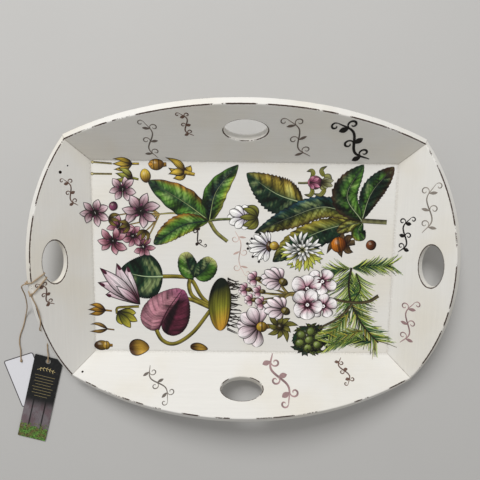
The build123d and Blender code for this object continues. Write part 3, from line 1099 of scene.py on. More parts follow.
def loop_route(hole_along, rim_along, knot):
    """Round the strip between the hand hole and the rim, from the knot and back to it."""
    low = left_hole_top(hole_along) - TWINE_LIFT
    high = left_rim(rim_along) + TWINE_LIFT
    inside, outside = TWINE_LIFT, -BOARD_THICKNESS - TWINE_LIFT
    return [
        knot,
        on_left_board(rim_along, high, inside - TWINE_BEND),
        on_left_board(rim_along, high - TWINE_BEND, inside),
        on_left_board(hole_along, low + TWINE_BEND, inside),
        on_left_board(hole_along, low, inside - TWINE_BEND),
        on_left_board(hole_along, low, outside + TWINE_BEND),
        on_left_board(hole_along, low + TWINE_BEND, outside),
        on_left_board(rim_along, high - TWINE_BEND, outside),
        on_left_board(rim_along, high, outside + TWINE_BEND),
        knot,
    ]


# ------------------------------------------------------------------ tags
def tag_place(finish, hole, turn):
    """The point's place on a tag in millimetres, across it and along it from its hole."""
    x, y, _ = finish.place()
    across = finish.minus(x, hole[0])
    down = finish.minus(y, hole[1])
    cos_t, sin_t = math.cos(turn) / MM, math.sin(turn) / MM
    u = finish.plus(finish.times(across, cos_t), finish.times(down, sin_t))
    v = finish.minus(finish.times(down, cos_t), finish.times(across, sin_t))
    return u, v


def hole_of(joint):
    """The middle of the hole that a tag turns about."""
    for each in frame["record"]["behaviour"]["joints"]:
        if each["name"] == joint:
            return each["pos_m"][:2]
    raise RuntimeError("no joint " + joint)


def white_card():
    """Uncoated card with a thin line printed round it."""
    look = settings().tags
    finish = Finish("white_card", Roughness=0.78, Specular_IOR_Level=0.3)
    u, v = tag_place(finish, hole_of("white_tag_turn"), WHITE_TAG_TURN)
    gaps = []
    for value, centre, half in zip((u, v), WHITE_TAG_CENTRE, WHITE_TAG_HALF):
        off = finish.sum("ABSOLUTE", finish.minus(value, centre))
        gaps.append(finish.minus(off, half - WHITE_TAG_CORNER))
    outer = [finish.most(gap, 0.0) for gap in gaps]
    inner = finish.sum("MINIMUM", finish.most(*gaps), 0.0)
    past_corner = finish.plus(distance_in_plane(finish, *outer), inner)
    depth = finish.minus(WHITE_TAG_CORNER, past_corner)
    off_line = finish.sum("ABSOLUTE", finish.minus(depth, BORDER_INSET))
    flat = finish.vector(u, v)
    fibre = finish.noise(flat, 2.6, 4.0, 0.7)
    ink = finish.times(finish.step(off_line, 1.0, 0.6), finish.step(fibre, 0.1, 0.35))
    edge = finish.times(finish.step(depth, 0.5, 0.05), 0.3)
    card = finish.shade(tuple(look.card), finish.scaled(fibre, 0.1, 0.93))
    card = finish.mix(edge, card, linear("A79F8E"))
    finish.colour(finish.mix(ink, card, tuple(look.border)))
    finish.bump(fibre, 0.05 * MM)
    return finish.material


def black_card():
    """Black coated card: weathered planks and moss are printed over its lower half."""
    look = settings().tags
    finish = Finish("black_card", Roughness=0.3, Specular_IOR_Level=0.5)
    u, v = tag_place(finish, hole_of("black_tag_turn"), BLACK_TAG_TURN)
    flat = finish.vector(u, v)
    plank = finish.sum("DIVIDE", finish.plus(u, PLANK_SHIFT), PLANK_WIDTH)
    part = finish.sum("FRACT", plank)
    gap = finish.times(finish.step(part, 0.02, 0.12), finish.step(part, 1.0, 0.93))
    tone = finish.noise(finish.vector(finish.sum("FLOOR", plank)), 3.7, 0.0)
    grain_at = finish.vector(finish.times(u, 1.9), finish.times(v, 0.11))
    grain = finish.noise(grain_at, 1.0, 5.0, 0.7)
    level = finish.plus(finish.times(grain, 1.5), finish.times(tone, 1.1))
    level = finish.times(finish.minus(finish.times(level, 1.6), 1.0), gap)
    red = finish.step(finish.noise(flat, 0.05, 2.0), 0.45, 0.6)
    timber = finish.mix(finish.times(red, 0.6), tuple(look.plank), linear("5A4248"))
    wall = finish.shade(timber, level)
    fade = finish.step(finish.plus(v, finish.times(grain, 10.0)), *PLANKS_FADE_IN)
    colour = finish.mix(fade, tuple(look.black), wall)
    tufts = finish.noise(flat, 0.2, 5.0, 0.75)
    top = finish.plus(v, finish.times(finish.minus(tufts, 0.5), -60.0))
    mossy = finish.step(top, *MOSS_TOP)
    blades = finish.noise(flat, 0.42, 5.0, 0.85)
    clump = finish.step(finish.noise(flat, 0.12, 3.0), 0.4, 0.62)
    moss = finish.mix(clump, tuple(look.moss), linear("6A6434"))
    moss = finish.shade(moss, finish.scaled(blades, 8.0, -3.2))
    colour = finish.mix(mossy, colour, moss)
    rubbed = finish.noise(flat, 0.2, 3.0)
    dulled = finish.times(finish.step(rubbed, 0.5, 0.8), 0.05)
    finish.colour(finish.mix(dulled, colour, linear("9A9A98")))
    finish.roughness(finish.scaled(rubbed, 0.22, 0.2))
    finish.bump(finish.noise(flat, 1.6, 2.0), 0.03 * MM)
    return finish.material


def pressed_metal(name, base, roughness):
    """Thin pressed metal, a little scratched."""
    finish = Finish(name, Metallic=1.0, Roughness=roughness)
    where = finish.point()
    scratch = finish.noise(where, 1500.0, 4.0, 0.7)
    finish.colour(finish.shade(base, finish.scaled(scratch, 0.5, 0.7)))
    finish.roughness(finish.plus(finish.times(scratch, 0.25), roughness - 0.1))
    finish.bump(scratch, 0.04 * MM)
    return finish.material


def dress(node, material):
    """A CAD node takes a finish."""
    slots = frame["nodes"][node].data.materials
    slots.clear()
    slots.append(material)


# ------------------------------------------------------------------ operators
class TRAY_OT_paint_boards(bpy.types.Operator):
    """Paint the four side boards, rubbed at the rims and the hand holes."""
    bl_idname = "tray.paint_boards"
    bl_label = "Paint side boards"

    def execute(self, context):
        long_paint = paint_board("long_board_chalk_paint", True)
        short_paint = paint_board("short_board_chalk_paint", False)
        for side in ("back", "front"):
            dress("side_board_" + side, long_paint)
        for side in ("left", "right"):
            dress("side_board_" + side, short_paint)
        return {"FINISHED"}


class TRAY_OT_paint_panel(bpy.types.Operator):
    """Paint the base panel."""
    bl_idname = "tray.paint_panel"
    bl_label = "Paint base panel"

    def execute(self, context):
        dress("base_panel", paint_panel())
        return {"FINISHED"}


class TRAY_OT_finish_metal(bpy.types.Operator):
    """Give the brads and the eyelet their metal."""
    bl_idname = "tray.finish_metal"
    bl_label = "Finish brads and eyelet"

    def execute(self, context):
        steel = pressed_metal("brad_steel", linear("9A938A"), 0.5)
        dress("corner_brads", steel)
        dress("panel_brads", steel)
        dress("black_tag_eyelet", pressed_metal("eyelet_nickel", linear("B9B7B0"), 0.32))
        return {"FINISHED"}


class TRAY_OT_print_blossom_sprig(bpy.types.Operator):
    """Lay the sprig of mauve blossom with its three leaves."""
    bl_idname = "tray.print_blossom_sprig"
    bl_label = "Blossom sprig"

    def lay_leaves(self):
        green, deep, olive, autumn, ink = inks("green", "deep_green", "olive", "autumn", "ink")
        yellow, pale, night, bark = tints("B7B447", "A9BE7A", "14242C", "5E4A30")
        node = (-55, 62)
        art = Artwork(on_panel)
        stem(art, [node, (-84, 70), (-112, 73), (-136, 71)], 4.4, linear("C9BD7C"), olive)
        start = Vector((-134, 71))
        for end in ((-163, 75), (-157, 43), (-160, 22), (-193, 52), (-192, 106), (-214, 66)):
            middle = start.lerp(Vector(end), 0.5) + Vector((0, 4 if end[1] > 60 else -3))
            stem(art, [start, middle, end], 3.2, linear("C3A85E"), bark)
        art.level += 1
        leaf(art, [node, (-97, 92), (-151, 123)], 45, (night, green, deep), (deep, green, autumn), night,
             pale, widest=0.48, sharp=0.66)
        leaf(art, [node, (-44, 108), (-10, 150)], 36, (night, deep, green), (night, green, yellow), deep,
             pale)
        leaf(art, [node, (-98, 53), (-143, 23)], (15, 19), (deep, green, yellow), (deep, green, autumn),
             night, night, teeth=14, bite=0.1, widest=0.55, sharp=0.62)
        stem(art, [node, (-44, 44), (-26, 29)], 6.2, linear("A9A45A"), linear("4B4B20"), 0.9)
        stem(art, [node, (-40, 64), (-21, 65)], 4.2, linear("8C9A5A"), ink, 0.9)
        art.piece("print_blossom_leaves")

    def lay_blossoms(self):
        ink, mauve = inks("ink", "mauve")
        blossoms = Artwork(on_panel)
        dusk, sepal, sepal_root, sepal_rim = tints("2A121E", "8A7A34", "2E2010", "4A2A1C")
        pale_head = tints("2A121E", "C39AA4", "EEE0E3")
        rosy_head = tints("3E1220", "AE6C7C", "DEBAC1")
        heads = (
            (-160, 19, 19, rosy_head), (-176, 36, 20, rosy_head), (-196, 50, 21, rosy_head),
            (-191, 110, 23, pale_head), (-235, 72, 24, pale_head), (-208, 28, 25, rosy_head),
            (-163, 76, 30, pale_head),
        )
        for i, (x, y, reach, colours) in enumerate(heads):
            ring_of_petals(blossoms, (x, y), 7, 1.0, reach, reach * 0.52, colours, 0.8 * i, 0.95,
                           widest=0.54, sharp=0.9)
            ring_of_petals(blossoms, (x, y), 5, 0.5, reach * 0.45, reach * 0.2, (ink, dusk, mauve),
                           0.8 * i + 0.4, 0.9, widest=0.5, sharp=1.0)
        for x, y, turn in ((-181, 54, 0.3), (-156, 46, 1.2), (-214, 64, 2.9)):
            for lean in (-0.5, 0.0, 0.55):
                tip = around((x, y), turn + lean, -19, -19)
                petal(blossoms, (x, y), tip, 6.5, sepal_root, sepal, sepal_rim, bend=0.25 * lean, widest=0.4,
                      sharp=1.0)
        berry(blossoms, (-206, 83), 15, 14, 1.2, mauve, dark=dusk)
        blossoms.piece("print_blossoms")

    def execute(self, context):
        self.lay_leaves()
        self.lay_blossoms()
        return {"FINISHED"}


class TRAY_OT_print_pods(bpy.types.Operator):
    """Lay the row of pins, pods and capsules above the blossom."""
    bl_idname = "tray.print_pods"
    bl_label = "Pods and capsules"

    def execute(self, context):
        dark, gold, husk = tints("3A2212", "EBC84A", "8A5A20")
        art = Artwork(on_panel)
        for y, foot in ((151, 149), (133, 133)):
            stem(art, [(-207, foot), (-236, y)], 3.0, linear("A59A62"), dark, 1.0, 10)
        dots(art, [(-237, 151), (-238, 133)], 5.0, linear("C9BE8A"), 1.0)
        pod(art, (-187, 149), 34, 19, 0.02, gold, dark)
        pod(art, (-185, 130), 30, 20, -0.25, linear("A9AA4A"), dark)
        stem(art, [(-132, 148), (-122, 149)], 8.0, inks("ochre")[0], dark, 0.8, 5)
        berry(art, (-138, 149), 24, 19, 0.05, linear("D2A03A"), husk, bands=3.0)
        dots(art, [(-147, 149)], 7.0, linear("C98F32"), 1.0)
        berry(art, (-155, 131), 22, 17, -1.4, gold, husk)
        tips = [around((-95, 137), lean, reach, reach * 0.8)
                for lean, reach in ((2.3, 42), (2.8, 26), (3.3, 25), (3.75, 21), (0.9, 18))]
        petals(art, (-92, 137), tips, 12, (dark, shaded(gold, 1.2), shaded(dark, 0.5)), bends=(-0.08, 0.12),
               widest=0.4, sharp=1.2, streaks=2.0)
        stem(art, [(-94, 137), (-78, 134)], 7.0, gold, dark, 0.7, 6)
        art.piece("print_pods")
        return {"FINISHED"}


class TRAY_OT_print_toothed_sprig(bpy.types.Operator):
    """Lay the sprig of toothed leaves with its bud."""
    bl_idname = "tray.print_toothed_sprig"
    bl_label = "Toothed leaf sprig"

    def lay_leaves(self):
        green, deep, olive = inks("green", "deep_green", "olive")
        blue, yellow, brown, night, pale = tints("23485A", "B3A03A", "4A2A1C", "101F1E", "A9B98A")
        node = (187, 65)
        art = Artwork(on_panel)
        stem(art, [node, (150, 84), (92, 97)], 4.0, linear("8FA07A"), linear("2E4034"), 0.6)
        art.level += 1
        leaf(art, [node, (130, 50), (80, 26), (47, -3)], (24, 20), (night, deep, night),
             (deep, olive, yellow), night, pale, teeth=14, widest=0.5)
        leaf(art, [(92, 92), (50, 106), (3, 137)], (31, 29), (night, deep, night), (deep, yellow, brown),
             deep, pale, teeth=18, sharp=0.75)
        leaf(art, [node, (128, 86), (72, 68), (17, 43)], (20, 19), (deep, olive, brown), (night, deep, blue),
             night, pale, teeth=22, bite=0.16, widest=0.5, sharp=0.75)
        leaf(art, [node, (201, 110), (234, 150)], (18, 18), (green, deep, night), (night, deep, brown), brown,
             pale, teeth=16, widest=0.56, sharp=0.7)
        leaf(art, [node, (162, 104), (186, 153)], (25, 17), (green, deep, brown), (night, green, deep), deep,
             pale, teeth=16, widest=0.5, sharp=0.75)
        leaf(art, [(189, 62), (170, 58), (148, 46)], 20, (olive, olive, brown), (night, olive, brown), brown,
             pale, teeth=8, bite=0.1, widest=0.6, sharp=0.6)
        leaf(art, [(189, 62), (182, 48), (192, 34)], 24, (green, deep, night), (deep, green, yellow), night,
             pale, teeth=6, bite=0.08, widest=0.6, sharp=0.6)
        stem(art, [(227, 63), (206, 64), node], 7.4, linear("8A8A5E"), linear("2E2A1C"), 1.0)
        art.piece("print_toothed_leaves")

    def lay_bud(self):
        olive, ink, maroon = inks("olive", "ink", "maroon")
        bud = Artwork(on_panel)
        stem(bud, [(84, 123), (94, 123), (104, 124)], 3.4, linear("9A9A6A"), ink, 1.1, 8)
        moss, calyx, calyx_edge = tints("4A4A26", "9A9A62", "8A8A52")
        curling = (
            ((104, 137), (97, 141), 0.4), ((124, 136), (129, 150), -0.4), ((104, 111), (94, 105), -0.35),
            ((128, 112), (108, 107), -0.3), ((127, 124), (137, 126), 0.1),
        )
        for i, (middle, tip, bend) in enumerate(curling):
            petal(bud, (128, 124), middle, 13.0, moss, calyx, olive, bend=bend, above=i % 3, widest=0.5,
                  sharp=0.8)
            petal(bud, Vector(middle).lerp(Vector((126, 124)), 0.2), tip, 7.5, olive, calyx_edge, ink,
                  bend=-bend, above=i % 3, widest=0.3)
        bud.level += 3
        berry(bud, (111, 124), 24, 22, 0.0, linear("C97A92"), maroon)
        rose, blush = tints("B0607E", "D99AAE")
        for tip in ((117, 131), (119, 117), (108, 134), (109, 114)):
            petal(bud, (102, 124), tip, 7, maroon, rose, blush, widest=0.6)
        root, scale, scale_rim = tints("2A1F14", "7A7A4A", "A9A98A")
        for tip in ((132, 131), (136, 123), (131, 116), (140, 128), (139, 119)):
            petal(bud, (119, 124), tip, 8, root, scale, scale_rim, widest=0.6)
        bud.piece("print_pink_bud")

    def execute(self, context):
        self.lay_leaves()
        self.lay_bud()
        return {"FINISHED"}


class TRAY_OT_print_white_flowers(bpy.types.Operator):
    """Lay the white flowers and the two berries under the toothed leaves."""
    bl_idname = "tray.print_white_flowers"
    bl_label = "White flowers and berries"

    def lay_flowers(self):
        deep, olive, ochre, ink = inks("deep_green", "olive", "ochre", "ink")
        white, lilac, grey, fresh, lemon = tints("FFFEFB", "A597AE", "5E5E5A", "A9B85A", "D2CE4E")
        art = Artwork(on_panel)
        petals(art, (3, 68), fan((0, 68), 90, 30, 7, 27, 20), 14, (lilac, white, white), sharp=0.62,
               widest=0.68, lined=0.5)
        calyx = [around((8, 68), angle, 16, 19) for angle in (1.75, 2.3, 3.14, 3.95, 4.5)]
        petals(art, (22, 68), calyx, 11, tints("3A3A14", "8A8A36", "5A5A22"),
               bends=(-0.2, -0.1, 0.0, 0.1, 0.2), sharp=0.9, widest=0.5)
        heart = (40, 22)
        petals(art, (41, 22), fan((38, 22), 92, 21.5, 9, 31, 25), 10.5, (lilac, white, white), sharp=0.6,
               widest=0.66, lined=0.7)
        tips = ((7, 18), (13, 34), (15, 5), (25, -3), (26, 42), (6, 26), (38, 46))
        for tip in tips:
            middle = Vector(tip).lerp(Vector(heart), 0.5) + Vector((0, 1))
            stem(art, [heart, middle, tip], 0.9, grey, ink, 1.0, 8)
        art.level += 1
        dots(art, tips, 4.2, ink)
        berry(art, (41, 22), 10, 18, 0.0, linear("5A3A22"), ink)
        berry(art, (49, 23), 15, 15, 0.0, linear("E0C24A"), ochre)
        daisy = (94, 17)
        ring_of_petals(art, daisy, 22, 3, 27, 7.0, (ink, deep, deep), 0.1, 0.95, sharp=0.9)
        ring_of_petals(art, daisy, 15, 3, 36, 7.0, (ink, lemon, fresh), math.pi, 0.95, 0.5, sharp=1.0,
                       widest=0.6)
        for count, inner, outer, width, eye, turn, sharp in (
            (19, 8, 31, 5.2, deep, 0.0, 0.8),
            (13, 4, 19, 5.0, deep, 0.2, 0.7),
            (7, 1, 10, 4.6, olive, 0.4, 0.6),
        ):
            ring_of_petals(art, daisy, count, inner, outer, width, (eye, white, white), turn, 0.95,
                           sharp=sharp)
        art.piece("print_white_flowers")

    def lay_berries(self):
        ink = inks("ink")[0]
        berries = Artwork(on_panel)
        stem(berries, [(160, 28), (178, 30)], 11.0, linear("6E5A3A"), ink, 0.8, 6)
        scales = ((139, 47), (158, 48), (133, 11), (158, 5), (176, 40), (176, 14))
        petals(berries, (165, 27), scales, 12, (*tints("3A2416", "6A5230"), ink),
               bends=(0.3, 0.2, -0.3, -0.3, 0.3, -0.3), widest=0.42, sharp=1.0)
        berry(berries, (152, 26), 26, 26, 0.2, linear("DB7F1C"), linear("6A2E10"), bands=2.0)
        berry(berries, (204, 26), 17, 17, 0.4, linear("8A4A22"), linear("3A1E12"))
        berries.piece("print_berries")

    def execute(self, context):
        self.lay_flowers()
        self.lay_berries()
        return {"FINISHED"}


class TRAY_OT_print_corm_plant(bpy.types.Operator):
    """Lay the plant that grows from a corm, with its round and heart-shaped leaves."""
    bl_idname = "tray.print_corm_plant"
    bl_label = "Corm plant"

    def lay_corm(self):
        ink = inks("ink")[0]
        root = linear("2A1F18")
        art = Artwork(on_panel)
        for route in (
            [(-131, -29), (-104, -29), (-84, -33), (-68, -60), (-54, -74)],
            [(-84, -28), (-87, -44), (-80, -62), (-52, -77)],
            [(-143, -112), (-131, -135), (-110, -141), (-81, -122), (-53, -85)],
            [(-98, -64), (-80, -68), (-53, -80)],
        ):
            stem(art, route, 6.8, linear("A89A3A"), linear("2E2A12"), 0.92, 34)
        draw = random.Random(4)
        for i in range(34):
            start = Vector((-25, -116 + 2.6 * i))
            end = start + Vector((draw.uniform(15, 24), draw.uniform(-9, 5)))
            middle = start.lerp(end, 0.6) + Vector((0, draw.uniform(-3, 4)))
            stem(art, [start, middle, end], 2.0, root, ink, 0.35, 8)
        skin = tints("151E14", "8A8A2A", "D29A34")

        def corm_paint(t, v):
            colour = three_way(skin, 1.25 * t - 0.22 + 0.12 * v)
            streak = noise.noise(Vector((v * 6.0, t * 2.0, 1.0)))
            return shaded(colour, 0.5 + 0.6 * math.cos(2.0 * v) + 0.8 * streak)

        art.blade([(-34, -30), (-37, -73), (-36, -118)], lambda t: 37 * math.sqrt(t * (1 - t)), corm_paint,
                  lambda t, v: (v * 4.5, 0.45, 3 * t), rows=34, sides=8, rounded=True)
        art.piece("print_corm")

    def lay_leaves(self):
        green, deep, ink, mauve, maroon = inks("green", "deep_green", "ink", "mauve", "maroon")
        pale, yellow, night = tints("B9CFA0", "D9D98A", "12241E")
        leaves = Artwork(on_panel)
        half = (deep, deep, night)
        leaf(leaves, [(-129, -29), (-160, -29), (-198, -21)], 74, half, half, night, pale, teeth=30,
             bite=0.05, sharp=0.62, spacing=15.0, slant=1.5, shine=0.9, mottle=0.8)
        stem(leaves, [(-83, -34), (-79, -22), (-77, -10)], 5.5, deep, ink, 0.8, 10)
        small = {"teeth": 9, "bite": 0.05, "spacing": 9.0, "slant": 2.4, "mottle": 0.6}
        leaf(leaves, [(-78, -30), (-87, -14), (-94, 11)], (17, 15), (night, green, deep),
             (night, deep, night), yellow, night, widest=0.52, sharp=0.4, **small)
        leaf(leaves, [(-77, -30), (-63, -18), (-50, 2)], (16, 19), (night, deep, deep),
             (deep, green, night), yellow, night, widest=0.54, sharp=0.38, **small)
        shadow, rose, wine, plum = tints("1E0A12", "B07482", "541E30", "682A3E")
        heart = {"sharp": 0.55, "slant": 1.6, "shine": 0.0}
        leaf(leaves, [(-122, -126), (-107, -94), (-97, -50)], (22, 22), (shadow, shadow, maroon),
             (wine, plum, shadow), mauve, None, teeth=20, bite=0.05, spacing=10.0, mottle=0.5, **heart)
        leaf(leaves, [(-149, -119), (-137, -86), (-99, -50)], (24, 17), (rose, linear("C88F9B"), rose),
             (linear("C08792"), rose, maroon), mauve, None, teeth=24, bite=0.04, spacing=8.0, mottle=0.45,
             **heart)
        stem(leaves, [(-137, -118), (-122, -85), (-99, -52)], 3.0, maroon, shadow, 0.3, 24)
        leaves.piece("print_corm_leaves")

    def lay_flower(self):
        ink, maroon = inks("ink", "maroon")
        flower = Artwork(on_panel)
        base = (-166, -76)
        shell, blush = tints("F3E9EC", "D9B6C2")
        tips = ((-222, -60), (-186, -12), (-234, -40), (-203, -8), (-230, -16))
        for i, (tip, bend) in enumerate(zip(tips, (-0.16, 0.1, -0.08, 0.08, 0.0))):
            petal(flower, base, tip, 23, maroon, shell, blush, bend=bend, above=i, widest=0.5, sharp=0.95,
                  lined=1.2)
            point = Vector(tip).lerp(Vector(base), 0.17)
            petal(flower, point, tip, 5.5, maroon, maroon, ink, above=5, widest=0.3, sharp=1.0)
        flower.level += 6
        petal(flower, base, (-205, -45), 14, maroon, blush, shell, widest=0.5, sharp=1.0, lined=1.2)
        flower.piece("print_pointed_flower")

    def execute(self, context):
        self.lay_corm()
        self.lay_leaves()
        self.lay_flower()
        return {"FINISHED"}


class TRAY_OT_print_seeds(bpy.types.Operator):
    """Lay the seeds and the hanging bud beside the corm plant."""
    bl_idname = "tray.print_seeds"
    bl_label = "Seeds"

    def execute(self, context):
        ochre = inks("ochre")[0]
        dark, gold = tints("4A2E16", "C9A03A")
        art = Artwork(on_panel)
        pod(art, (-233, -85), 32, 17, -0.1, ochre, dark)
        pod(art, (-231, -116), 34, 13, -0.12, linear("9A7A3E"), dark, 2)
        stem(art, [(-222, -145), (-212, -145)], 6.0, ochre, dark, 0.8, 5)
        berry(art, (-230, -145), 25, 17, 0.0, dark, gold)
        berry(art, (-222, -145), 12, 15, 0.0, gold, bands=2.0)
        stem(art, [(-168, -79), (-186, -80), (-203, -82), (-204, -92)], 4.4, linear("A0983E"), dark, 0.9, 16)
        petals(art, (-203, -87), ((-173, -90), (-171, -104), (-182, -115), (-196, -110)), 14,
               tints("2E2E12", "8A8A2E", "C2B23E"), widest=0.6, sharp=0.8)
        petal(art, (-185, -150), (-152, -148), 29, dark, gold, linear("6A4A1E"), widest=0.4, sharp=0.55,
              bend=0.03, streaks=0.7, lined=0.5)
        petal(art, (-85, -146), (-56, -150), 14, dark, gold, dark, widest=0.4, sharp=0.55, bend=0.06,
              lined=1.2)
        art.piece("print_seeds")
        return {"FINISHED"}


class TRAY_OT_print_pink_blossom(bpy.types.Operator):
    """Lay the branch of pink blossom with its buds and calyx."""
    bl_idname = "tray.print_pink_blossom"
    bl_label = "Pink blossom branch"

    def lay_branch(self):
        bark, white, wine = tints("33291A", "FFFAFA", "3E1022")
        pale, rose, twig = tints("EFD6DE", "CF93A6", "A8974E")
        art = Artwork(on_panel)
        buds = ((18, -31, 12), (3, -49, 11), (25, -52, 10), (12, -66, 10), (30, -71, 11))
        root = Vector((76, -57))
        for x, y, _ in buds:
            middle = Vector((x, y)).lerp(root, 0.45) + Vector((0, -2))
            stem(art, [root, middle, (x, y)], 3.6, twig, bark, 0.8, 14)
        for end in ((54, -30), (59, -79)):
            stem(art, [(96, -57), (74, -55), end], 4.6, twig, bark, 0.9, 14)
        art.level += 1
        for x, y, reach in buds:
            tips = [around((x, y), lean, reach, reach) for lean in (1.9, 4.3, 2.7, 3.5)]
            petals(art, (x + 4, y), tips, reach * 1.05, (wine, rose, white), sharp=0.6, widest=0.66,
                   lined=0.7)
            berry(art, (x + 7, y), 10, 8, 0.0, linear("7A6A30"), bark)
        for x, y in ((50, -30), (55, -78)):
            petals(art, (x + 14, y - 4), fan((x, y), 70, 33, 7, 22, 18), 14, (wine, pale, white), sharp=0.6,
                   widest=0.7, lined=0.8)
            berry(art, (x + 15, y - 6), 16, 13, -0.5, linear("8A7A34"), bark, bands=2.0)
        for i, (x, y, reach) in enumerate(((131, -75, 21), (128, -34, 23), (104, -46, 25), (105, -73, 27))):
            ring_of_petals(art, (x, y), 5, 3.0, reach, reach * 0.95, (rose, white, white), 0.3 + 0.7 * i,
                           0.97, widest=0.66, sharp=0.5, streaks=1.4, lined=0.75)
            ring_of_petals(art, (x, y), 11, 1.0, reach * 0.42, reach * 0.16, (wine, wine, rose), 0.5 * i,
                           0.95, widest=0.4, sharp=1.0)
            dots(art, [(x, y)], 5.6, white)
            dots(art, [(x, y)], 2.0, wine)
        art.piece("print_pink_blossom")

    def lay_fan_flower(self):
        ochre, ink = inks("ochre", "ink")
        bark, white, wine, pale = tints("33291A", "FFFAFA", "3E1022", "EFD6DE")
        half = Artwork(on_panel)
        petals(half, (27, -111), fan((27, -111), 84, 30, 7, 37, 35), 22, (wine, pale, white), order=(0, 2, 1),
               sharp=0.55, widest=0.68, streaks=1.5, lined=0.8)
        stem(half, [(32, -111), (47, -110)], 9.0, ochre, bark, 0.8, 6)
        berry(half, (32, -111), 19, 18, 0.0, linear("D2A93A"), linear("8A6A24"), bands=2.0)
        star = ((0.1, 30), (0.75, 22), (1.35, 22), (2.1, 33), (2.9, 22), (3.7, 24), (4.5, 21), (5.15, 29),
                (5.8, 20))
        tips = [around((62, -111), lean, reach, reach) for lean, reach in star]
        petals(half, (62, -111), tips, 9.5, (ink, *tints("8E8A3A", "4E4A1E")), bends=(0.14,), widest=0.45,
               sharp=1.0)
        berry(half, (62, -111), 12, 12, 0.0, linear("4A3E1C"), ink)
        half.piece("print_fan_flower")

    def execute(self, context):
        self.lay_branch()
        self.lay_fan_flower()
        return {"FINISHED"}


class TRAY_OT_print_conifer(bpy.types.Operator):
    """Lay the conifer sprigs and the green cone."""
    bl_idname = "tray.print_conifer"
    bl_label = "Conifer and cone"

    def lay_sprigs(self, draw):
        deep, ink = inks("deep_green", "ink")
        wash = tints("BCC88A", "B9C45A", "9EAE7A")
        fresh = tints("34602E", "5A7430", "28482A", "7E9240")
        dark = [deep, *tints("16281C", "223E26"), ink]
        warm = [*tints("8A7A2E", "A89A3A", "4E4A22"), deep]
        bark, twig_top, branch = tints("33291A", "3E3A26", "6A6040")
        art = Artwork(on_panel)
        sprigs = (
            ([(174, -12), (204, -9), (236, -6)], 25, 0.6, fresh + dark + dark),
            ([(174, -12), (158, -14), (146, -18)], 24, 0.65, fresh + dark + dark),
            ([(174, -14), (170, -40), (177, -71)], 44, 0.82, fresh + dark),
            ([(182, -18), (188, -45), (182, -66)], 34, 0.75, fresh),
            ([(177, -71), (196, -105), (220, -132)], 34, 0.72, fresh + dark + warm),
            ([(176, -80), (160, -104), (144, -122)], 26, 0.6, warm + fresh),
            ([(214, -136), (186, -130), (148, -139)], 26, 0.55, fresh + dark),
            ([(200, -116), (176, -122), (150, -128)], 24, 0.6, warm + fresh),
        )
        # a pale wash of wide needles first, and the fine ones over it
        for twig, reach, lean, _ in sprigs:
            sprig_of_needles(art, twig, reach, wash, lean, draw, 3.0, 1.6)
        for twig, reach, lean, colours in sprigs:
            sprig_of_needles(art, twig, reach, colours, lean, draw, 2.6, 0.75)
        trunk = [(174, -11), (171, -40), (177, -71), (196, -105), (224, -136)]
        stem(art, trunk, 3.6, twig_top, ink, 0.6, 30)
        stem(art, [(182, -20), (190, -45), (180, -66)], 2.4, twig_top, ink, 0.6, 16)
        stem(art, [(178, -71), (158, -94), (126, -112)], 4.6, branch, bark, 0.7)
        stem(art, [(220, -57), (202, -67), (175, -68), (140, -62)], 5.6, branch, bark, 0.7, 30)
        art.piece("print_conifer")

    def lay_cone(self, draw):
        deep, ink = inks("deep_green", "ink")
        cone = Artwork(on_panel)
        middle = Vector((110, -132))
        bracts, moss = 46, linear("6A7A2E")
        for i in range(bracts):
            angle = 2 * math.pi * i / bracts
            away = Vector((math.cos(angle), math.sin(angle) * 0.88)) * draw.uniform(27, 37)
            petal(cone, middle + away * 0.2, middle + away, 7, ink, (deep, moss)[i % 2], ink, above=i % 3,
                  widest=0.6, sharp=1.0, bend=draw.uniform(-0.4, 0.4))
        cone.level += 3
        berry(cone, middle, 55, 47, 0.0, deep, ink)
        scale, rim = linear("4E5A22"), 9
        for ring, count in ((17, 6), (0, 1)):
            for i in range(count):
                angle = 2 * math.pi * i / count + 0.4
                spot = around(middle, angle, ring, 0.85 * ring)
                for k in range(rim):
                    tip = around(spot, angle + 2 * math.pi * k / rim, 9.5, 9.5)
                    petal(cone, spot, tip, 5.5, ink, scale, ink, widest=0.6, sharp=0.9)
                berry(cone, spot, 14, 13, angle, linear("92A552"), linear("5A6E2E"), sides=3)
        cone.piece("print_cone")

    def execute(self, context):
        draw = random.Random(29)
        self.lay_sprigs(draw)
        self.lay_cone(draw)
        return {"FINISHED"}


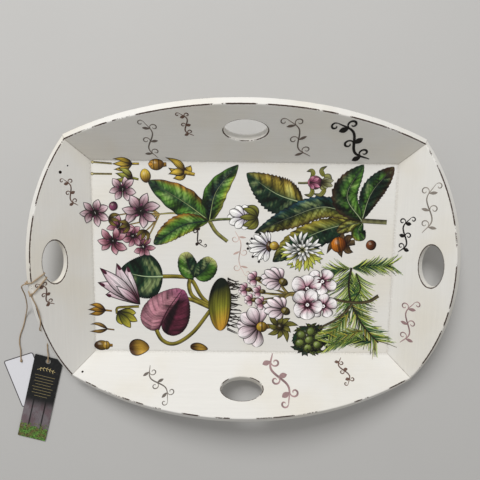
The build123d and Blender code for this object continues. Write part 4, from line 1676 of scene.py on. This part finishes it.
class TRAY_OT_paint_tendrils(bpy.types.Operator):
    """Paint the tendrils that climb over the boards and the panel."""
    bl_idname = "tray.paint_tendrils"
    bl_label = "Painted tendrils"

    def execute(self, context):
        brown = inks("scroll")[0]
        black, grey, mauve, faint, night = tints("161210", "8D857C", "9A7E7E", "C4A89E", "2E211C")
        boards = {
            "left": [((84, 22), (124, 44), 6, 2.0, brown), ((-64, 64), (-30, 87), 6, 2.0, brown)],
            "back": [((-134, 6), (-147, 74), 8, 2.0, linear("6E645C")), ((-76, 50), (-95, 89), 7, 2.0, brown),
                     ((100, 14), (58, 82), 9, 2.0, linear("6A5E56")), ((192, 10), (132, 76), 10, 4.2, black)],
            "right": [((16, 8), (72, 26), 8, 2.6, black), ((50, 44), (124, 60), 9, 2.0, grey),
                      ((-130, 20), (-60, 40), 9, 2.2, mauve)],
            "front": [((-148, 24), (-114, 82), 8, 2.0, linear("6A625A")), ((50, 2), (72, 84), 10, 3.8, mauve),
                      ((162, 8), (168, 52), 7, 2.2, brown)],
        }
        for side, marks in boards.items():
            art = Artwork(on_board(side))
            for start, end, sway, thick, colour in marks:
                tendril(art, start, end, sway, thick, colour)
            art.piece("tendrils_" + side, slot="board_paint")
        art = Artwork(on_panel)
        tendril(art, (-84, 52), (-63, 20), 5, 2.2, night, 2)
        tendril(art, (-14, 46), (2, -24), 5, 1.3, faint, 3)
        art.piece("tendrils_panel")
        return {"FINISHED"}


class TRAY_OT_tie_twine(bpy.types.Operator):
    """Tie the two lengths of twine round the rim strip and run them to the tags."""
    bl_idname = "tray.tie_twine"
    bl_label = "Twine"

    def execute(self, context):
        look = settings().twine
        ends = (
            ("white", WHITE_LOOP, WHITE_KNOT, WHITE_TAIL_ROUTE, 3),
            ("black", BLACK_LOOP, BLACK_KNOT, BLACK_TAIL_ROUTE, 8),
        )
        for tag, crossing, rim_knot, route, seed in ends:
            name = tag + "_tag_"
            loop = Strands()
            round_strip = spline_points(name + "loop", loop_route(*crossing, rim_knot))
            loop.twisted(round_strip, look, seed, hairs=0.5)
            loop_piece = loop.piece(name + "tied_loop", "tray", "twine", jute())
            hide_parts(name + "twine_loop")

            rim = overhand(rim_knot, RIM_KNOT_RADIUS, look, (0.2, 1.0, 0.3), seed + 1)
            rim_piece = rim.piece(name + "tied_rim_knot", "tray", "twine", jute())
            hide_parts(name + "rim_knot")

            end = overhand(route[-1], END_KNOT_RADIUS, look, (0.1, 0.2, 1.0), seed + 2)
            end_piece = end.piece(name + "tied_end_knot", "tray", "twine", jute())
            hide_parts(name + "end_knot")

            path = spline_points(name + "route", route)
            tail = Strands()
            tail.twisted(path, look, seed + 3, hairs=0.7)
            tail_piece = tail.piece(name + "laid_twine", "tray", "twine", jute())
            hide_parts(name + "twine")
            tuple(route[0])
            length_of(path)
            [tuple(p) for p in path]
        return {"FINISHED"}


class TRAY_OT_finish_tags(bpy.types.Operator):
    """Finish the white card and the black card with its gold sprig and rules."""
    bl_idname = "tray.finish_tags"
    bl_label = "Hang tags"

    def execute(self, context):
        dress("white_tag", white_card())
        dress("black_tag", black_card())
        hole = hole_of("black_tag_turn")
        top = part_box("black_tag")[1][2]
        turn = Matrix.Rotation(BLACK_TAG_TURN, 2)

        def on_black_tag(u, v, lift):
            place = turn @ Vector((u, v)) * MM
            return Vector((hole[0] + place.x, hole[1] + place.y, top + lift * MM))

        gold = tuple(settings().tags.gold)
        art = Artwork(on_black_tag)

        def plain(t, v):
            return gold

        def pale(t, v):
            return shaded(gold, 1.7)

        art.blade([(-15, -18), (-3, -13), (15, -16)], lambda t: 0.3, pale, sides=1, rows=20, outline=0.0)
        for i in range(5):
            for hand in (-1, 1):
                root = Vector((-11 + 5.2 * i, -16.4 + 2.2 * math.sin(0.65 * i + 0.3)))
                tip = root + Vector((2.6, hand * 3.6))
                art.blade([root, tip], lambda t: 0.5 * bulge(t, 0.45, 1.0), pale, rows=8, sides=2, above=1,
                          outline=0.0, rounded=True)
        art.level += 1
        for i, half in enumerate(RULE_HALVES):
            y = RULE_TOP - RULE_SPACING * i
            art.blade([(-half, y), (half, y)], lambda t: 0.24, plain, rows=4, sides=1, outline=0.0)
        art.piece("black_tag_gilding", "black_tag", "black_card")
        return {"FINISHED"}


class TRAY_OT_set_stage(bpy.types.Operator):
    """Lay the floor and place the light and the camera."""
    bl_idname = "tray.set_stage"
    bl_label = "Floor, light and camera"

    def execute(self, context):
        look = settings().stage
        scene = context.scene
        edges = ((-1, -1), (1, -1), (1, 1), (-1, 1))
        corners = [(x * FLOOR_HALF, y * FLOOR_HALF, z)
                   for z in (FLOOR_TOP - FLOOR_THICKNESS, FLOOR_TOP) for x, y in edges]
        faces = [(3, 2, 1, 0), (4, 5, 6, 7)]
        faces += [(i, (i + 1) % 4, (i + 1) % 4 + 4, i + 4) for i in range(4)]
        mesh = bpy.data.meshes.new("floor")
        mesh.from_pydata(corners, [], faces)
        finish = Finish("floor_paper", Roughness=0.85, Specular_IOR_Level=0.2)
        x, y, _ = finish.place()
        cloud = finish.noise(finish.vector(x, y), 3.0, 4.0)
        finish.colour(finish.shade(tuple(look.floor), finish.scaled(cloud, 0.06, 0.97)))
        mesh.materials.append(finish.material)
        floor = bpy.data.objects.new("floor", mesh)
        scene.collection.objects.link(floor)

        light = bpy.data.lights.new("key_light", "AREA")
        light.shape = "DISK"
        light.size = KEY_SIZE
        light.energy = look.key_power
        light.color = KEY_COLOUR
        key = bpy.data.objects.new("key_light", light)
        key.location = KEY_PLACE
        key.rotation_euler = (-Vector(KEY_PLACE)).to_track_quat("-Z", "Y").to_euler()
        scene.collection.objects.link(key)

        world = bpy.data.worlds.new("soft_sky")
        world.use_nodes = True
        background = world.node_tree.nodes["Background"]
        background.inputs["Color"].default_value = SKY_COLOUR
        background.inputs["Strength"].default_value = look.sky
        scene.world = world
        scene.view_settings.view_transform = "Standard"

        camera = bpy.data.cameras.new("camera")
        camera.sensor_fit = "HORIZONTAL"
        camera.angle = look.view_angle
        camera.clip_start = 0.01
        holder = bpy.data.objects.new("camera", camera)
        back = (Vector(CAMERA_PLACE) - Vector(CAMERA_AIM)).normalized()
        right = Vector((0, 1, 0)).cross(back).normalized()
        facing = Matrix((right, back.cross(right), back)).transposed().to_quaternion()
        holder.rotation_mode = "QUATERNION"
        holder.location = CAMERA_PLACE
        holder.rotation_quaternion = facing @ Quaternion((0, 0, 1), CAMERA_ROLL)
        scene.collection.objects.link(holder)
        scene.camera = holder
        return {"FINISHED"}


class TRAY_PT_panel(bpy.types.Panel):
    """Lists the settings and the operators in the 3D view's sidebar."""
    bl_label = "Serving Tray"
    bl_idname = "TRAY_PT_panel"
    bl_space_type = "VIEW_3D"
    bl_region_type = "UI"
    bl_category = "Tray"

    def draw(self, context):
        layout = self.layout
        look = context.scene.serving_tray
        for part in ("paint", "print", "twine", "tags", "stage"):
            group = getattr(look, part)
            box = layout.box()
            box.label(text=part.capitalize())
            for name in group.__annotations__:
                box.prop(group, name)
        for operator in OPERATORS:
            layout.operator(operator.bl_idname)


OPERATORS = (
    TRAY_OT_set_stage,
    TRAY_OT_tie_twine,
    TRAY_OT_paint_boards,
    TRAY_OT_paint_panel,
    TRAY_OT_finish_metal,
    TRAY_OT_finish_tags,
    TRAY_OT_print_blossom_sprig,
    TRAY_OT_print_pods,
    TRAY_OT_print_toothed_sprig,
    TRAY_OT_print_white_flowers,
    TRAY_OT_print_corm_plant,
    TRAY_OT_print_seeds,
    TRAY_OT_print_pink_blossom,
    TRAY_OT_print_conifer,
    TRAY_OT_paint_tendrils,
)

CLASSES = (
    PaintSettings,
    PrintSettings,
    TwineSettings,
    TagSettings,
    StageSettings,
    TraySettings,
    *OPERATORS,
    TRAY_PT_panel,
)


def register():
    for each in CLASSES:
        bpy.utils.register_class(each)
    bpy.types.Scene.serving_tray = PointerProperty(type=TraySettings)


def unregister():
    del bpy.types.Scene.serving_tray
    for each in reversed(CLASSES):
        bpy.utils.unregister_class(each)


def main():
    register()
    for operator in OPERATORS:
        group, name = operator.bl_idname.split(".")
        getattr(getattr(bpy.ops, group), name)()


if __name__ == "__main__":
    main()
